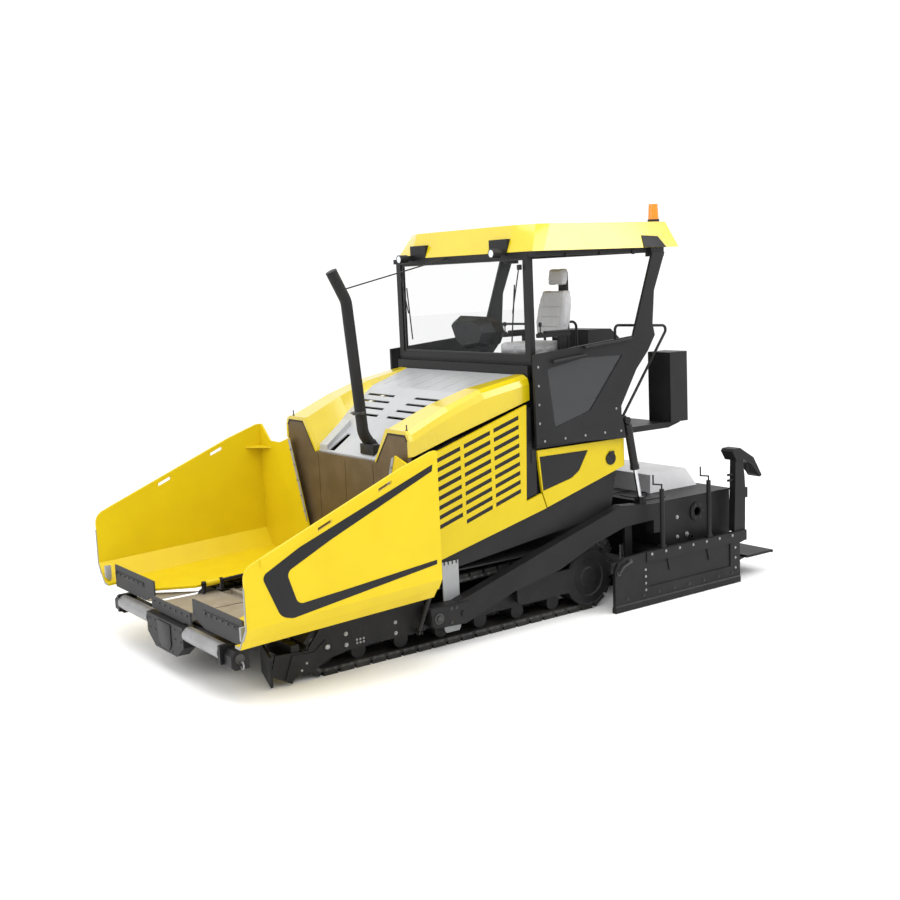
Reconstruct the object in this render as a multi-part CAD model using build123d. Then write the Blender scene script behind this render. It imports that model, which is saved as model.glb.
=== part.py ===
from build123d import *
import os
from math import atan2, degrees, hypot, pi

# Tracked asphalt paver with a screed behind it, as separate named pieces.
# Millimetres. +X is forward, +Y is left, +Z is up, the ground is z = 0.
os.makedirs("parts", exist_ok=True)

# ---------------------------------------------------------------- driving dimensions
fit = 0.05              # radial clearance of a pin in its eye
seat = 0.3              # clearance of a round piece in its seat
clear = 8               # clearance between pieces that move past each other
sheet = 20              # plate of the hollow boxes

# tracks
track_out = 1105        # outer side of a track, from the centre plane
track_width = 300
sprocket_x = -770
sprocket_r = 340        # over the shoes
idler_x = 2280
idler_r = 230
carrier_x = 880
carrier_r = 110
carrier_top = 630
shoe = 35               # height of a shoe
belt = 35               # height of the links under the shoes
shoe_count = 46
shoe_gap = 24
lower_rollers = 6
lower_roller_r = 75

# main frame and conveyor tunnel
frame_half = 640
frame_plate = 25
frame_rear = -1130
frame_front = 3040
frame_low = 300
tunnel_floor = 440
tunnel_roof = 900
hopper_sill = 480       # top of the frame under the hopper
conveyor_front = 2480
bar_pitch = 240
fender_z = 690

# body
body_half = 1150        # outer side of the pods
door_stand = 40         # how far the doors stand out from the pods
panel = 30
bulkhead_x = 1330
bulkhead_plate = 40
bulkhead_top = 2050
valley_half = 545
valley_low = 1720
valley_rear = 932       # half width of the valley at its rear end
hood_rear = -70
hood_high = 2440
lip = 36                # yellow edge round the front wall

# wings
hinge_y = 560
hinge_z = 560
wing_gap = 50           # between the front wall and the wings
wing_long = 1890
wing_half = 1650
wing_plate = 22
wing_drop = 80          # fall of the wing from its rear edge to its front edge
fold_rise = 190         # height of the bevel along the bottom of a wing
bevel_in = 150
wing_high = 1930
wing_low_front = 1211   # top edge at the front corner
corner_r = 130
rim = 65                # width of the raised band along the top edge
rim_step = 6

# push beam
beam_reach = 190        # from the frame to the axis of the rollers
roller_z = 420
roller_r = 68
roller_in = 400
roller_out = 1105
push_pin_r = 20

# platform
floor_z = 1800
floor_plate = 60
side_stand = 100        # how far the platform's sides stand out from the pods
side_plate = 30
screen_x = -150
screen_bar = 60
screen_half = 1130
sill_z = 2560
post_top = 3560
roof_low = 3610
roof_high = 3870
roof_half = 1235
rail_r = 14

# screed and tow arms
arm_gap = 10            # between the pods and the tow arms
arm_width = 120
tow_x = 1190
tow_z = 330
tow_pin_r = 35
screed_front = -1560
screed_half = 1200
screed_top = 1000
upper_half = 1250
upper_front = -1740
upper_rear = -2740
upper_low = 510
slide_x = -2214         # between the main screed and the extensions
plate_in = 1400
plate = 25
end_front = -850
end_rear = -2690
beam_low = 450
beam_top = 560
walk_rear = -3300
walk_top = 250

# sizes that follow from them
side_half = body_half + door_stand
wing_rear = bulkhead_x + wing_gap
wing_front = wing_rear + wing_long
beam_x = frame_front + beam_reach
side_plate_out = body_half + side_stand
arm_in = body_half + arm_gap
arm_out = arm_in + arm_width
plate_out = plate_in + plate


# ---------------------------------------------------------------- helpers
def box(x0, x1, y0, y1, z0, z1):
    size = Box(abs(x1 - x0), abs(y1 - y0), abs(z1 - z0))
    return Pos((x0 + x1) / 2, (y0 + y1) / 2, (z0 + z1) / 2) * size


def slab_xz(points, y0, y1):
    """An outline of (x, z) points, as thick as y0 to y1."""
    face = make_face(Polyline(*[(x, y0, z) for x, z in points], close=True))
    return extrude(face, amount=y1 - y0, dir=(0, 1, 0))


def slab_yz(points, x0, x1):
    """An outline of (y, z) points, as thick as x0 to x1."""
    face = make_face(Polyline(*[(x0, y, z) for y, z in points], close=True))
    return extrude(face, amount=x1 - x0, dir=(1, 0, 0))


def slab_xy(points, z0, z1):
    """An outline of (x, y) points, as thick as z0 to z1."""
    face = make_face(Polyline(*[(x, y, z0) for x, y in points], close=True))
    return extrude(face, amount=z1 - z0, dir=(0, 0, 1))


def level(points, z):
    return make_face(Polyline(*[(x, y, z) for x, y in points], close=True))


def rod(start, end, radius, bore=0):
    """A round bar, or a tube if it has a bore."""
    run = Vector(*end) - Vector(*start)
    plane = Plane(origin=start, z_dir=run)
    section = Circle(radius) - Circle(bore) if bore else Circle(radius)
    return extrude(plane * section, amount=run.length)


def across(x, z, y0, y1, radius, bore=0):
    """A round bar along Y."""
    return rod((x, y0, z), (x, y1, z), radius, bore)


def upright(point, z0, z1, radius):
    return rod((point[0], point[1], z0), (point[0], point[1], z1), radius)


def bent(points, radius, bend):
    """A round bar bent to a line of points."""
    path = FilletPolyline(*points, radius=bend)
    return sweep(Plane(origin=path @ 0, z_dir=path % 0) * Circle(radius), path=path)


def jointed(points, radius):
    """Thin straight bars from point to point, welded at the corners."""
    bars = Part()
    for start, end in zip(points, points[1:]):
        way = (Vector(*end) - Vector(*start)).normalized() * radius * 0.7
        bars += rod(tuple(Vector(*start) - way), tuple(Vector(*end) + way), radius)
    return bars


def other(shape):
    """The same piece on the right-hand side."""
    return mirror(shape, about=Plane.XZ)


def both(*shapes):
    return [side for shape in shapes for side in (shape, other(shape))]


def save(name, *shapes):
    solids = [solid for shape in shapes for solid in shape.solids()]
    shape = solids[0] if len(solids) == 1 else Compound(children=solids)
    export_step(shape, f"parts/{name}.step")


def save_pair(name, shape):
    save(f"{name}_left", shape)
    save(f"{name}_right", other(shape))


def on_line(x, x0, z0, x1, z1):
    """Height at x on the line through two points."""
    return z0 + (z1 - z0) * (x - x0) / (x1 - x0)


def along(start, end, distance):
    """The point of a plane at a distance from start towards end."""
    share = distance / hypot(end[0] - start[0], end[1] - start[1])
    return (start[0] + (end[0] - start[0]) * share, start[1] + (end[1] - start[1]) * share)


# ---------------------------------------------------------------- tracks
# x, z, radius of the wheels inside the loop, over the shoes
loop_wheels = [
    (sprocket_x, sprocket_r, sprocket_r),
    (carrier_x, carrier_top - carrier_r, carrier_r),
    (idler_x, idler_r, idler_r),
]


def loop(inset):
    circles = [Pos(x, z) * Circle(r - inset) for x, z, r in loop_wheels]
    return make_hull([edge for circle in circles for edge in circle.edges()])


belt_outline = loop(shoe) - loop(shoe + belt)
path = loop(shoe).wires()[0]
pitch = path.length / shoe_count
shoes = []
for number in range(shoe_count):
    place = path @ (number / shoe_count)
    way = path % (number / shoe_count)
    turn = degrees(atan2(way.Y, way.X))
    shoes += [Pos(place.X, place.Y) * Rot(0, 0, turn) * Rectangle(pitch - shoe_gap, 2 * shoe)]
track_outline = belt_outline + (Sketch() + shoes - loop(shoe + belt / 2))
track_plane = Plane(origin=(0, track_out, 0), x_dir=(1, 0, 0), z_dir=(0, -1, 0))
track = extrude(track_plane * track_outline, amount=track_width)
save("tracks", *both(track))

# frame inside each loop: beams, wheels and the arms that carry it
wheel_inset = shoe + belt + seat
rail_in = track_out - track_width + 45
rail_out = track_out - 45
axle_r = 45
track_frame = box(sprocket_x + 330, idler_x - 260, rail_in, rail_out, 190, 400)
for y in (rail_in, rail_out - 40):
    track_frame += box(sprocket_x, idler_x, y, y + 40, 200, 300)
for x, z, r in loop_wheels:
    track_frame += across(x, z, rail_in + 50, rail_out - 50, r - wheel_inset)
    track_frame += across(x, z, frame_half, rail_out, min(axle_r, r - wheel_inset - 8))
    track_frame += across(x, z, rail_out - 2, rail_out + 12, min(axle_r + 55, r - wheel_inset - 8))
track_frame += box(carrier_x - 60, carrier_x + 60, rail_in + 60, rail_out - 60, 390, carrier_top - 150)
roller_z0 = wheel_inset + lower_roller_r
roller_run = idler_x - sprocket_x - 780
for number in range(lower_rollers):
    x = sprocket_x + 420 + number * roller_run / (lower_rollers - 1)
    track_frame += across(x, roller_z0, rail_in, rail_out, lower_roller_r)
for x in (sprocket_x + 470, idler_x - 380):
    track_frame += box(x - 90, x + 90, frame_half, rail_in + 20, 220, 380)
track_frame += across(tow_x, tow_z, rail_out, arm_out + 22, tow_pin_r)
save("track_frames", *both(track_frame))

# round cover over the final drive, turned from one profile, and the guard ahead of it
cover_profile = [(0, 0), (285, 0), (285, 22), (262, 40), (190, 40), (176, 28), (110, 28), (96, 40), (0, 40)]
cover_plane = Plane(origin=(sprocket_x, track_out + seat, sprocket_r), x_dir=(1, 0, 0), z_dir=(0, 0, 1))
cover_face = cover_plane * make_face(Polyline(*cover_profile, close=True))
drive_cover = revolve(cover_face, axis=Axis((sprocket_x, 0, sprocket_r), (0, 1, 0)))
drive_cover += across(sprocket_x, sprocket_r, rail_out + 12, track_out + 20, 150)
guard_rear = sprocket_x + 200
guard = slab_xz([(guard_rear, 230), (guard_rear, 470), (130, 470), (160, 430), (160, 260), (120, 230)],
                track_out + seat, track_out + 40)
guard += box(guard_rear + 220, 0, rail_out, track_out + 20, 260, 400)
save("drive_covers", *both(drive_cover + guard))

# skirt plate over the track's front end, with the plough that clears its path
skirt_in = track_out + 5
skirt_out = skirt_in + 16
plough_x = idler_x + 400
skirt = [(tow_x + 60, 560), (idler_x - 40, 545), (idler_x + 50, 450), (idler_x + 190, 270),
         (plough_x + 100, 290), (plough_x + 150, 120), (plough_x - 40, 15), (plough_x - 100, 90),
         (idler_x + 180, 60), (idler_x + 10, 150), (idler_x - 230, 190), (tow_x + 40, 200)]
track_guard = slab_xz(skirt, skirt_in, skirt_out)
plough_arm = [(idler_x - 60, 175), (idler_x - 65, 260), (idler_x + 10, 335), (idler_x + 130, 245),
              (plough_x - 60, 262), (plough_x + 20, 60), (plough_x - 40, 15), (plough_x - 100, 90),
              (idler_x + 180, 60), (idler_x + 50, 128)]
track_guard += slab_xz(plough_arm, skirt_out, skirt_out + 10)
track_guard += box(plough_x - 140, plough_x - 60, frame_half, skirt_in, 200, 340)
nose_front = plough_x + 160
track_guard += slab_xy([(nose_front, skirt_out), (nose_front - 25, skirt_out), (plough_x - 25, frame_half),
                        (plough_x, frame_half)], 20, 290)

# ---------------------------------------------------------------- main frame
nose_low = frame_low + 60
frame_outline = [(frame_rear, 420), (sprocket_x + 250, frame_low), (frame_front - 150, frame_low),
                 (frame_front, nose_low), (frame_front, hopper_sill), (bulkhead_x + 60, hopper_sill),
                 (bulkhead_x, tunnel_roof), (frame_rear, tunnel_roof)]
deck_plate = 15
main_frame = slab_xz(frame_outline, frame_half - frame_plate, frame_half)
main_frame += other(main_frame)
main_frame += box(sprocket_x + 260, frame_front - 160, -frame_half, frame_half, frame_low, frame_low + 20)
main_frame += box(frame_front - 20, frame_front, -frame_half, frame_half, nose_low, tunnel_floor - deck_plate)
main_frame += box(frame_rear, bulkhead_x - bulkhead_plate, -frame_half, frame_half,
                  tunnel_roof - 20, tunnel_roof)

# floor plates ahead of the conveyors
plate_front = beam_x - 130
plate_side = frame_half - frame_plate - 8
plate_step = frame_front - 22
plates = slab_xz([(conveyor_front, tunnel_floor), (plate_step, tunnel_floor), (plate_step, tunnel_floor + 28),
                  (plate_front, tunnel_floor + 28), (plate_front, tunnel_floor + 50),
                  (conveyor_front, tunnel_floor + 50)], 12, plate_side)
save("hopper_floor_plates", *both(plates))

# conveyor floor, the ridge along its middle, and the chains with their bars
conveyor_rear = frame_rear + 40
chain_front = conveyor_front - 10
inner_side = frame_half - frame_plate
deck = box(frame_rear, frame_front - 20, -inner_side, inner_side, tunnel_floor - deck_plate, tunnel_floor)
ridge_top = tunnel_floor + 105
ridge = slab_yz([(-60, tunnel_floor), (-18, ridge_top), (18, ridge_top), (60, tunnel_floor)],
                frame_rear + 20, conveyor_front)
conveyor = box(conveyor_rear, chain_front, 75, 105, tunnel_floor, tunnel_floor + 28)
conveyor += box(conveyor_rear, chain_front, inner_side - 45, inner_side - 15, tunnel_floor, tunnel_floor + 28)
bar_count = int((chain_front - conveyor_rear - 85) / bar_pitch) + 1
for number in range(bar_count):
    x = conveyor_rear + 40 + number * bar_pitch
    conveyor += box(x, x + 45, 75, inner_side - 15, tunnel_floor, tunnel_floor + 40)
save("conveyors", deck + ridge + conveyor + other(conveyor))

# engine as one plain block, on the tunnel's roof
save("engine_block", box(150, 1100, -450, 450, tunnel_roof, 1700))

# ---------------------------------------------------------------- front wall
wall_x = bulkhead_x - bulkhead_plate
wall_foot = 650


def valley_edge(x):
    """Half width of the valley between the pods."""
    return on_line(x, bulkhead_x, valley_half, hood_rear, valley_rear)


wall_side = [(valley_half + lip, valley_low), (762 + lip, bulkhead_top - lip), (1080, bulkhead_top - lip),
             (body_half - lip, bulkhead_top - 90), (body_half - lip, wall_foot)]
wall_outline = wall_side + [(-y, z) for y, z in reversed(wall_side)]
wall = slab_yz(wall_outline, wall_x, bulkhead_x)
wall -= box(wall_x - 20, bulkhead_x + 20, -frame_half, frame_half, 600, tunnel_roof)
for y in (-510, 0, 510):
    wall -= box(bulkhead_x - 5, bulkhead_x + 5, y - 4, y + 4, tunnel_roof + 60, valley_low - 30)
save("bulkhead", wall)

# silver deck in the valley: x and z of its upper side, from the front wall back
deck_line = [(wall_x, valley_low + 14), (872, 2066), (478, 2305), (hood_rear, hood_high)]


def deck_z(x):
    for (x0, z0), (x1, z1) in zip(deck_line, deck_line[1:]):
        if x >= x1:
            return on_line(x, x0, z0, x1, z1)


deck_low = [(x, z - 14) for x, z in reversed(deck_line)]
deck_plan = [(wall_x, -valley_edge(wall_x)), (wall_x, valley_edge(wall_x)), (hood_rear, valley_rear),
             (hood_rear, -valley_rear)]
hood_deck = slab_xz(deck_line + deck_low, -valley_rear, valley_rear) & slab_xy(deck_plan, 1500, 2600)
# middle of each row of slots
for x in (872, 781, 687, 600):
    inner = on_line(x, 872, 85, 600, 182)
    outer = valley_edge(x) - 70
    slope = degrees(atan2(deck_z(x - 20) - deck_z(x + 20), 40))
    for way in (-1, 1):
        middle = way * (inner + outer) / 2
        hood_deck -= Pos(x, middle, deck_z(x)) * Rot(0, slope, 0) * Box(34, outer - inner, 60)
# grooves of the flatter part, along its fall
groove_front = 430
groove_rear = 20
groove = [(groove_front, deck_z(groove_front) - 5), (groove_front, deck_z(groove_front) + 9),
          (groove_rear, deck_z(groove_rear) + 9), (groove_rear, deck_z(groove_rear) - 5)]
for number in range(6):
    y = -650 + number * 260
    hood_deck -= slab_xz(groove, y, y + 10)
# open trough and raised cover on the right of the deck
hood_deck -= slab_xy([(wall_x - 15, -395), (wall_x - 15, -285), (1085, -250), (1085, -325)], 1600, 2100)
cover_x = (wall_x - 5, 1000)
hood_deck += slab_xz([(cover_x[0], deck_z(cover_x[0])), (cover_x[0], deck_z(cover_x[0]) + 55),
                      (cover_x[1], deck_z(cover_x[1]) + 55), (cover_x[1], deck_z(cover_x[1]))], -545, -400)

# yellow pods beside the valley: x, z of the valley, y and z of the crest, z of the outer lower edge
pod_rows = [
    (wall_x, deck_z(wall_x), 762, bulkhead_top, 1820),
    (872, deck_z(872), 800, 2225, 1946),
    (478, deck_z(478), 872, 2352, 2054),
    (hood_rear, hood_high, 952, hood_high + 6, 2205),
]


def pod_section(x, valley, crest_y, crest, low):
    edge = valley_edge(x)
    return [(edge, valley - 60), (edge, valley), (crest_y, crest), (1070, crest), (1128, crest - 32),
            (body_half, crest - 90), (body_half, low)]


def section_face(x, points):
    return make_face(Polyline(*[(x, y, z) for y, z in points], close=True))


pod = loft([section_face(row[0], pod_section(*row)) for row in pod_rows], ruled=True)
edge_plate = slab_yz(pod_section(*pod_rows[0]), wall_x, bulkhead_x)
edge_plate -= slab_yz(wall_outline, wall_x - 5, bulkhead_x + 5)
edge_plate -= box(wall_x - 5, bulkhead_x + 5, 0, valley_half + lip, 1500, valley_low)
save("hood_pods", *both(pod + max(edge_plate.solids(), key=lambda solid: solid.volume)))

# ---------------------------------------------------------------- side doors with their grilles
door_front = bulkhead_x - 140
door_outline = [(door_front, 1800), (hood_rear + 75, 2165), (40, 1240), (-150, 1290), (-205, 1140),
                (1110, 830), (door_front, 900)]
door = slab_xz(door_outline, side_half - panel, side_half)
grille_top = [(1130, 1790), (60, 2120)]
grille_low = [(1000, 1070), (90, 1260)]
grille_slope = (grille_top[1][1] - grille_top[0][1]) / (grille_top[1][0] - grille_top[0][0])
# front and rear end of the slots of each column
columns = [(1110, 800), (760, 450), (410, 105)]
slat_pitch = 88
slot_height = 44
louvre_rise = 22        # how far a slot rises through the panel
for x0, x1 in columns:
    middle = (x0 + x1) / 2
    for row in range(11):
        z0 = on_line(x0, *grille_top[0], *grille_top[1]) - 30 - row * slat_pitch
        z1 = z0 + grille_slope * (x1 - x0)
        lowest = on_line(middle, *grille_low[0], *grille_low[1])
        if (z0 + z1) / 2 - slot_height > lowest:
            corners = [(x0, z0), (x1, z1), (x1, z1 - slot_height), (x0, z0 - slot_height)]
            face = make_face(Polyline(*[(x, side_half + 1, z) for x, z in corners], close=True))
            way = Vector(0, -panel - 2, louvre_rise)
            door -= extrude(face, amount=way.length, dir=way.normalized())
door_pin = (door_front + 14, side_half)
knuckle_r = 11
door_pin_r = 6
door_knuckles = [(960, 1040), (1640, 1720)]
holder_in = body_half - 20
pin_holder = Part()
for z0, z1 in door_knuckles:
    door += upright(door_pin, z0, z1, knuckle_r)
    door += box(door_front - 5, door_pin[0], side_half - 14, side_half - 6, z0, z1)
    door -= upright(door_pin, z0 - 5, z1 + 5, door_pin_r + fit)
    pin_holder += upright(door_pin, z0 - 22, z1, door_pin_r)
    pin_holder += upright(door_pin, z0 - 22, z0 - 2, knuckle_r)
    pin_holder += box(door_pin[0] - 8, door_pin[0] + 8, holder_in, side_half - 4, z0 - 22, z0 - 2)
save_pair("side_door", door)

# yellow rear panels, with the shallow pocket of their dark plate
rear_panel = slab_xz([(-110, 1715), (-1250, 1712), (-1250, 1430), (-218, 1146), (-163, 1300)],
                     side_half - panel, side_half)
pocket = [(-135, 1655), (-770, 1650), (-640, 1450), (-540, 1390), (-170, 1310)]
rear_panel -= slab_xz(pocket, side_half - 4, side_half + 5)
save("rear_side_panels", *both(rear_panel))

# dark inner walls behind the doors, the strip between door and rear panel, and the fenders over the tracks
bay_out = holder_in
bay_in = bay_out - 20
bay = slab_xz([(1280, fender_z), (wall_x - 5, 1780), (hood_rear, 2170), (hood_rear, 1735), (-1240, 1735),
               (-1180, 1340), (-1100, 960), (900, 720), (900, fender_z)], bay_in, bay_out)
bay += slab_xz([(-4, 2118), (-55, 2135), (-58, 1735), (-105, 1725), (-100, 1296), (26, 1262)],
               bay_out - 1, side_half - 12)
for x0, x1, z0, z1 in ((-1200, -1140, 1450, 1700), (-400, -340, 1250, 1700)):
    bay += box(x0, x1, bay_out - 1, side_half - panel, z0, z1)
bay += box(sprocket_x - 230, tow_x + 90, frame_half, bay_out, fender_z, fender_z + 14)
save("bay_walls", *both(bay + pin_holder))

# ---------------------------------------------------------------- platform
shelf_front = -1230
shelf_rear = -1640
box_rear = -2170
front_wall_x = hood_rear - 10
floor_low = floor_z - floor_plate
floor_half = side_plate_out - side_plate
platform = box(shelf_front, front_wall_x, -floor_half, floor_half, floor_low, floor_z)
platform += box(shelf_rear, shelf_front, 10 - body_half, body_half - 10, floor_low, floor_z)
platform += box(front_wall_x - 30, front_wall_x, -1120, 1120, floor_z, sill_z - 30)
platform += box(frame_rear, frame_rear + 20, -frame_half, frame_half, tunnel_roof, floor_low)

side_in = side_plate_out - side_plate
side_outline = [(-60, 1780), (-60, 2640), (-1360, 2740), (-1650, post_top), (-1820, post_top), (-1660, 3180),
                (-1630, 2850), (-1660, 2730), (-1560, 2580), (-1390, 2400), (-1160, 2030), (-1230, 1720)]
window = [(-220, 2490), (-690, 2570), (-1200, 2560), (-750, 2040), (-300, 1920)]
side = slab_xz(side_outline, side_in, side_plate_out)
side -= slab_xz(window, side_in - 5, side_plate_out + 5)
# grab bars: x and z of both ends
for x0, z0, x1, z1 in ((-265, 2560, -690, 2596), (-670, 2670, -1300, 2716)):
    for x, z in ((x0 - 20, z0), (x1 + 20, z1)):
        side += across(x, z, side_plate_out - 1, side_plate_out + 34, 9)
    side += rod((x0, side_plate_out + 34, z0), (x1, side_plate_out + 34, z1), rail_r)
save("platform_sides", *both(side))

glass = 6
pane = slab_xz(window, side_in + 12, side_in + 12 + glass)
post_in = screen_half - 80
front_pane = box(screen_x - glass / 2, screen_x + glass / 2, -post_in, post_in, sill_z + 60, post_top - 10)
save("cab_glass", front_pane, *both(pane))

# handrails behind the platform's sides, and the hoop beside the seat
rail_y = 1110
rail = bent([(-1240, rail_y, floor_z), (-1240, rail_y, 2850), (-1995, rail_y, 2805), (-1290, rail_y, 1880),
             (-1290, rail_y, floor_z)], rail_r, 45)
hoop_y = 300
hoop_front = -1000
hoop_back = -1440
hoop = bent([(hoop_front, hoop_y, floor_z), (hoop_front, hoop_y, 2880), (hoop_back, hoop_y, 2872),
             (hoop_back, hoop_y, floor_z)], rail_r, 60)
save("handrails", hoop, *both(rail))

# ---------------------------------------------------------------- windscreen frame and roof
bar = screen_bar / 2
roof_frame = box(screen_x - bar, screen_x + bar, -screen_half, screen_half, sill_z, sill_z + 60)
roof_frame += box(screen_x - bar, screen_x + bar, -screen_half, screen_half, post_top - 10, roof_low)
roof_frame += box(front_wall_x - 50, screen_x, -screen_half, screen_half, sill_z - 30, sill_z)
gutter = box(-1840, screen_x + bar, screen_half + 5, screen_half + 50, roof_low - 50, roof_low)
gutter += box(-1840, -1660, screen_half + 5, side_in, post_top - 40, roof_low)
gutter += box(screen_x - bar, screen_x + bar, post_in, screen_half, sill_z, post_top)
for x in (-560, -1000, -1440):
    gutter += box(x - 16, x + 16, screen_half + 50, screen_half + 62, roof_low - 62, roof_low - 20)
roof_frame += gutter + other(gutter)
roof_frame += box(-1840, -1700, -screen_half - 5, screen_half + 5, roof_low - 50, roof_low)
save("roof_frame", roof_frame)

# roof panel: x and y of its lower edge, and of the edge of its top
roof_edge = [(-111, 824), (-160, 1160), (-230, roof_half), (-2040, roof_half)]
roof_crown = [(-207, 830), (-300, 1050), (-430, 1110), (-1975, 1110)]


def closed(points):
    return points + [(x, -y) for x, y in reversed(points)]


def shrunk(points, amount):
    """The same outline, drawn in on all sides."""
    return [(x + amount if x < -1500 else x - amount, y - amount) for x, y in points]


roof = loft([level(closed(roof_edge), roof_low), level(closed(roof_crown), roof_high)], ruled=True)
roof -= loft([level(closed(shrunk(roof_edge, 40)), roof_low - 1),
              level(closed(shrunk(roof_crown, 45)), roof_high - 40)], ruled=True)
lamp_y = 800
lamp_z = 3605
lamp_x = 53
lamp_box = box(-300, -111, lamp_y - 250, lamp_y + 30, roof_low, 3740)
roof -= box(-320, 0, lamp_y - 250, lamp_y + 30, roof_low - 10, 3740)
roof -= box(-320, 0, -lamp_y - 30, 250 - lamp_y, roof_low - 10, 3740)
save("roof", roof)
lamp = lamp_box + box(-119, -40, lamp_y - 30, lamp_y + 30, lamp_z - 20, roof_low + 30)
lamp += rod((-40, lamp_y, lamp_z), (lamp_x, lamp_y, lamp_z), 45)
save("work_lights", *both(lamp))
beacon = Pos(-1870, 1050, roof_high + 12) * Cylinder(58, 24)
beacon += Pos(-1870, 1050, roof_high + 24 + 78) * Cone(54, 46, 156)
save("beacon", beacon)

# ---------------------------------------------------------------- seat
seat_y = 750
seat_half = 240
cushion_z = 2600
cushion = slab_xz([(-215, cushion_z), (-200, 2690), (-240, 2735), (-560, 2715), (-680, 2740),
                   (-680, cushion_z)], seat_y - seat_half, seat_y + seat_half)
save("seat_cushion", cushion)
# half width of the backrest at its foot, its widest place and its top: y and z
back_half = [(190, 2740), (238, 2900), (225, 3120), (165, 3240)]
back_outline = back_half + [(-y, z) for y, z in reversed(back_half)]
backrest = slab_xz([(-640, 2740), (-760, 2740), (-845, 3240), (-750, 3240), (-700, 2900)],
                   seat_y - seat_half, seat_y + seat_half)
backrest &= slab_yz([(seat_y + y, z) for y, z in back_outline], -900, -600)
headrest = slab_xz([(-752, 3265), (-850, 3265), (-869.7, 3300), (-869.7, 3440), (-785, 3445), (-765, 3360)],
                   seat_y - 130, seat_y + 130)
save("seat_back", backrest, headrest)
seat_base = box(-640, -280, seat_y - 150, seat_y + 150, floor_z, 2420)
seat_base += box(-660, -240, seat_y - 210, seat_y + 210, 2420, cushion_z)
seat_base += box(-900, -870, seat_y - 60, seat_y + 60, 2500, 3400)
seat_base += box(-900, -640, seat_y - 60, seat_y + 60, 2480, 2560)
for way in (-1, 1):
    arm_y = seat_y + way * (seat_half + 35)
    seat_base += box(-660, -560, arm_y - 15, arm_y + 15, 2500, 2780)
    seat_base += box(-700, -300, arm_y - 25, arm_y + 25, 2780, 2820)
    seat_base += box(-660, -560, seat_y + way * 200, arm_y, 2500, 2540)
save("seat_base", seat_base)

# control console: its hood as a loft from the back of the screens to their front, on a pedestal
console_face = [(-360, 2925), (-225, 2995), (140, 2985), (285, 2930), (370, 2830), (285, 2695), (-110, 2640),
                (-260, 2728)]


console_middle = 2820


def console_section(x, share):
    """The console's outline, drawn towards its middle."""
    return section_face(x, [(y * share, on_line(share, 0, console_middle, 1, z)) for y, z in console_face])


console_rows = [(-200, 0.72), (-300, 1), (-430, 0.94)]
console = loft([console_section(x, share) for x, share in console_rows], ruled=True)
console += box(-400, -280, -80, 120, floor_z, 2800)
console += box(-520, -200, -150, 200, floor_z, floor_z + 520)
console += box(-480, -230, 300, 430, 2380, 2560) + box(-400, -300, 100, 320, 2420, 2500)
save("console", console)

# cabinet behind the platform and the boxes beside it, on one shelf
shelf_end = -1950
rear_box = box(shelf_end, shelf_rear, 10 - body_half, body_half - 10, floor_low, floor_z)
middle_box = [(-1650, floor_z), (-1650, 2772), (-1985, 2765), (-2120, 2650), (-2120, floor_z)]
rear_box += slab_xz(middle_box, -350, 250)
bracket = [(shelf_end + 10, floor_low), (-2100, floor_low + 40), (-2140, floor_z), (shelf_end + 10, floor_z)]
for way in (-1, 1):
    rear_box += box(box_rear, box_rear + 250, way * 880, way * 1200, floor_z, 2530)
    for y in (way * 910, way * 1130):
        rear_box += slab_xz(bracket, y - 10, y + 10)
save("rear_box", rear_box)

# ---------------------------------------------------------------- exhaust stack and its stay
stack_y = 280
stack_r = 55
stack_foot = (wall_x - 155, stack_y, 1758)
stack_bend = (wall_x - 15, stack_y, 1960)
stack_line = [stack_foot, stack_bend, (wall_x + 95, stack_y, 3220), (wall_x + 240, stack_y, 3500)]
stack = bent(stack_line, stack_r, 200)
stack += rod(stack_foot, (wall_x - 85, stack_y, 1859), stack_r + 9)
hood_deck -= rod((wall_x - 280, stack_y, 1578), stack_bend, stack_r + 9 + seat)
save("hood_deck", hood_deck)
stay = rod((screen_x + bar + 3, -190, 3590), (wall_x + 82, stack_y - 44, 3330), 7)
save("exhaust_stack", stack, stay)

# ---------------------------------------------------------------- wings
flap_x = wing_front - 94


def sheared(points):
    """A section of (y, z) points at the wing's front, drawn back and up to its rear."""
    face = make_face(Polyline(*[(wing_front, y, z) for y, z in points], close=True))
    way = Vector(-wing_long, 0, wing_drop)
    return extrude(face, amount=way.length, dir=way.normalized())


def wing_fall(x):
    """How far the wing's floor lies above its front end at x."""
    return wing_drop * (wing_front - x) / wing_long


low = hinge_z - 30
wing_face = wing_half - rim_step
# section from the hinge outwards: floor, bevel with its crease, outer wall, and back inside
wing_section = [
    (hinge_y + 40, low), (wing_half - bevel_in, low), (wing_half - bevel_in + 62, low + 88),
    (wing_half - bevel_in + 82, low + 90), (wing_face, low + fold_rise), (wing_face, 2100),
    (wing_face - wing_plate, 2100), (wing_face - wing_plate, low + fold_rise + 8),
    (wing_half - bevel_in - 10, low + wing_plate), (hinge_y + 40, low + wing_plate),
]
top_points = [(wing_rear, wing_high), (wing_rear + 60, wing_high), (wing_rear + 390, wing_high - 110),
              (wing_front, wing_low_front)]
trim_base = [(x, 0, z) for x, z in [(wing_rear, 400)] + top_points + [(wing_front, 400)]]
trim = extrude(make_face(Polyline(*trim_base, close=True)), amount=2000, dir=(0, 1, 0))


def from_corner(edge):
    return abs(edge.center().X - wing_front) + abs(edge.center().Z - wing_low_front)


trim = fillet(trim.edges().filter_by(Axis.Y).sort_by(from_corner)[0], corner_r)
wing = sheared(wing_section) & trim
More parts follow.
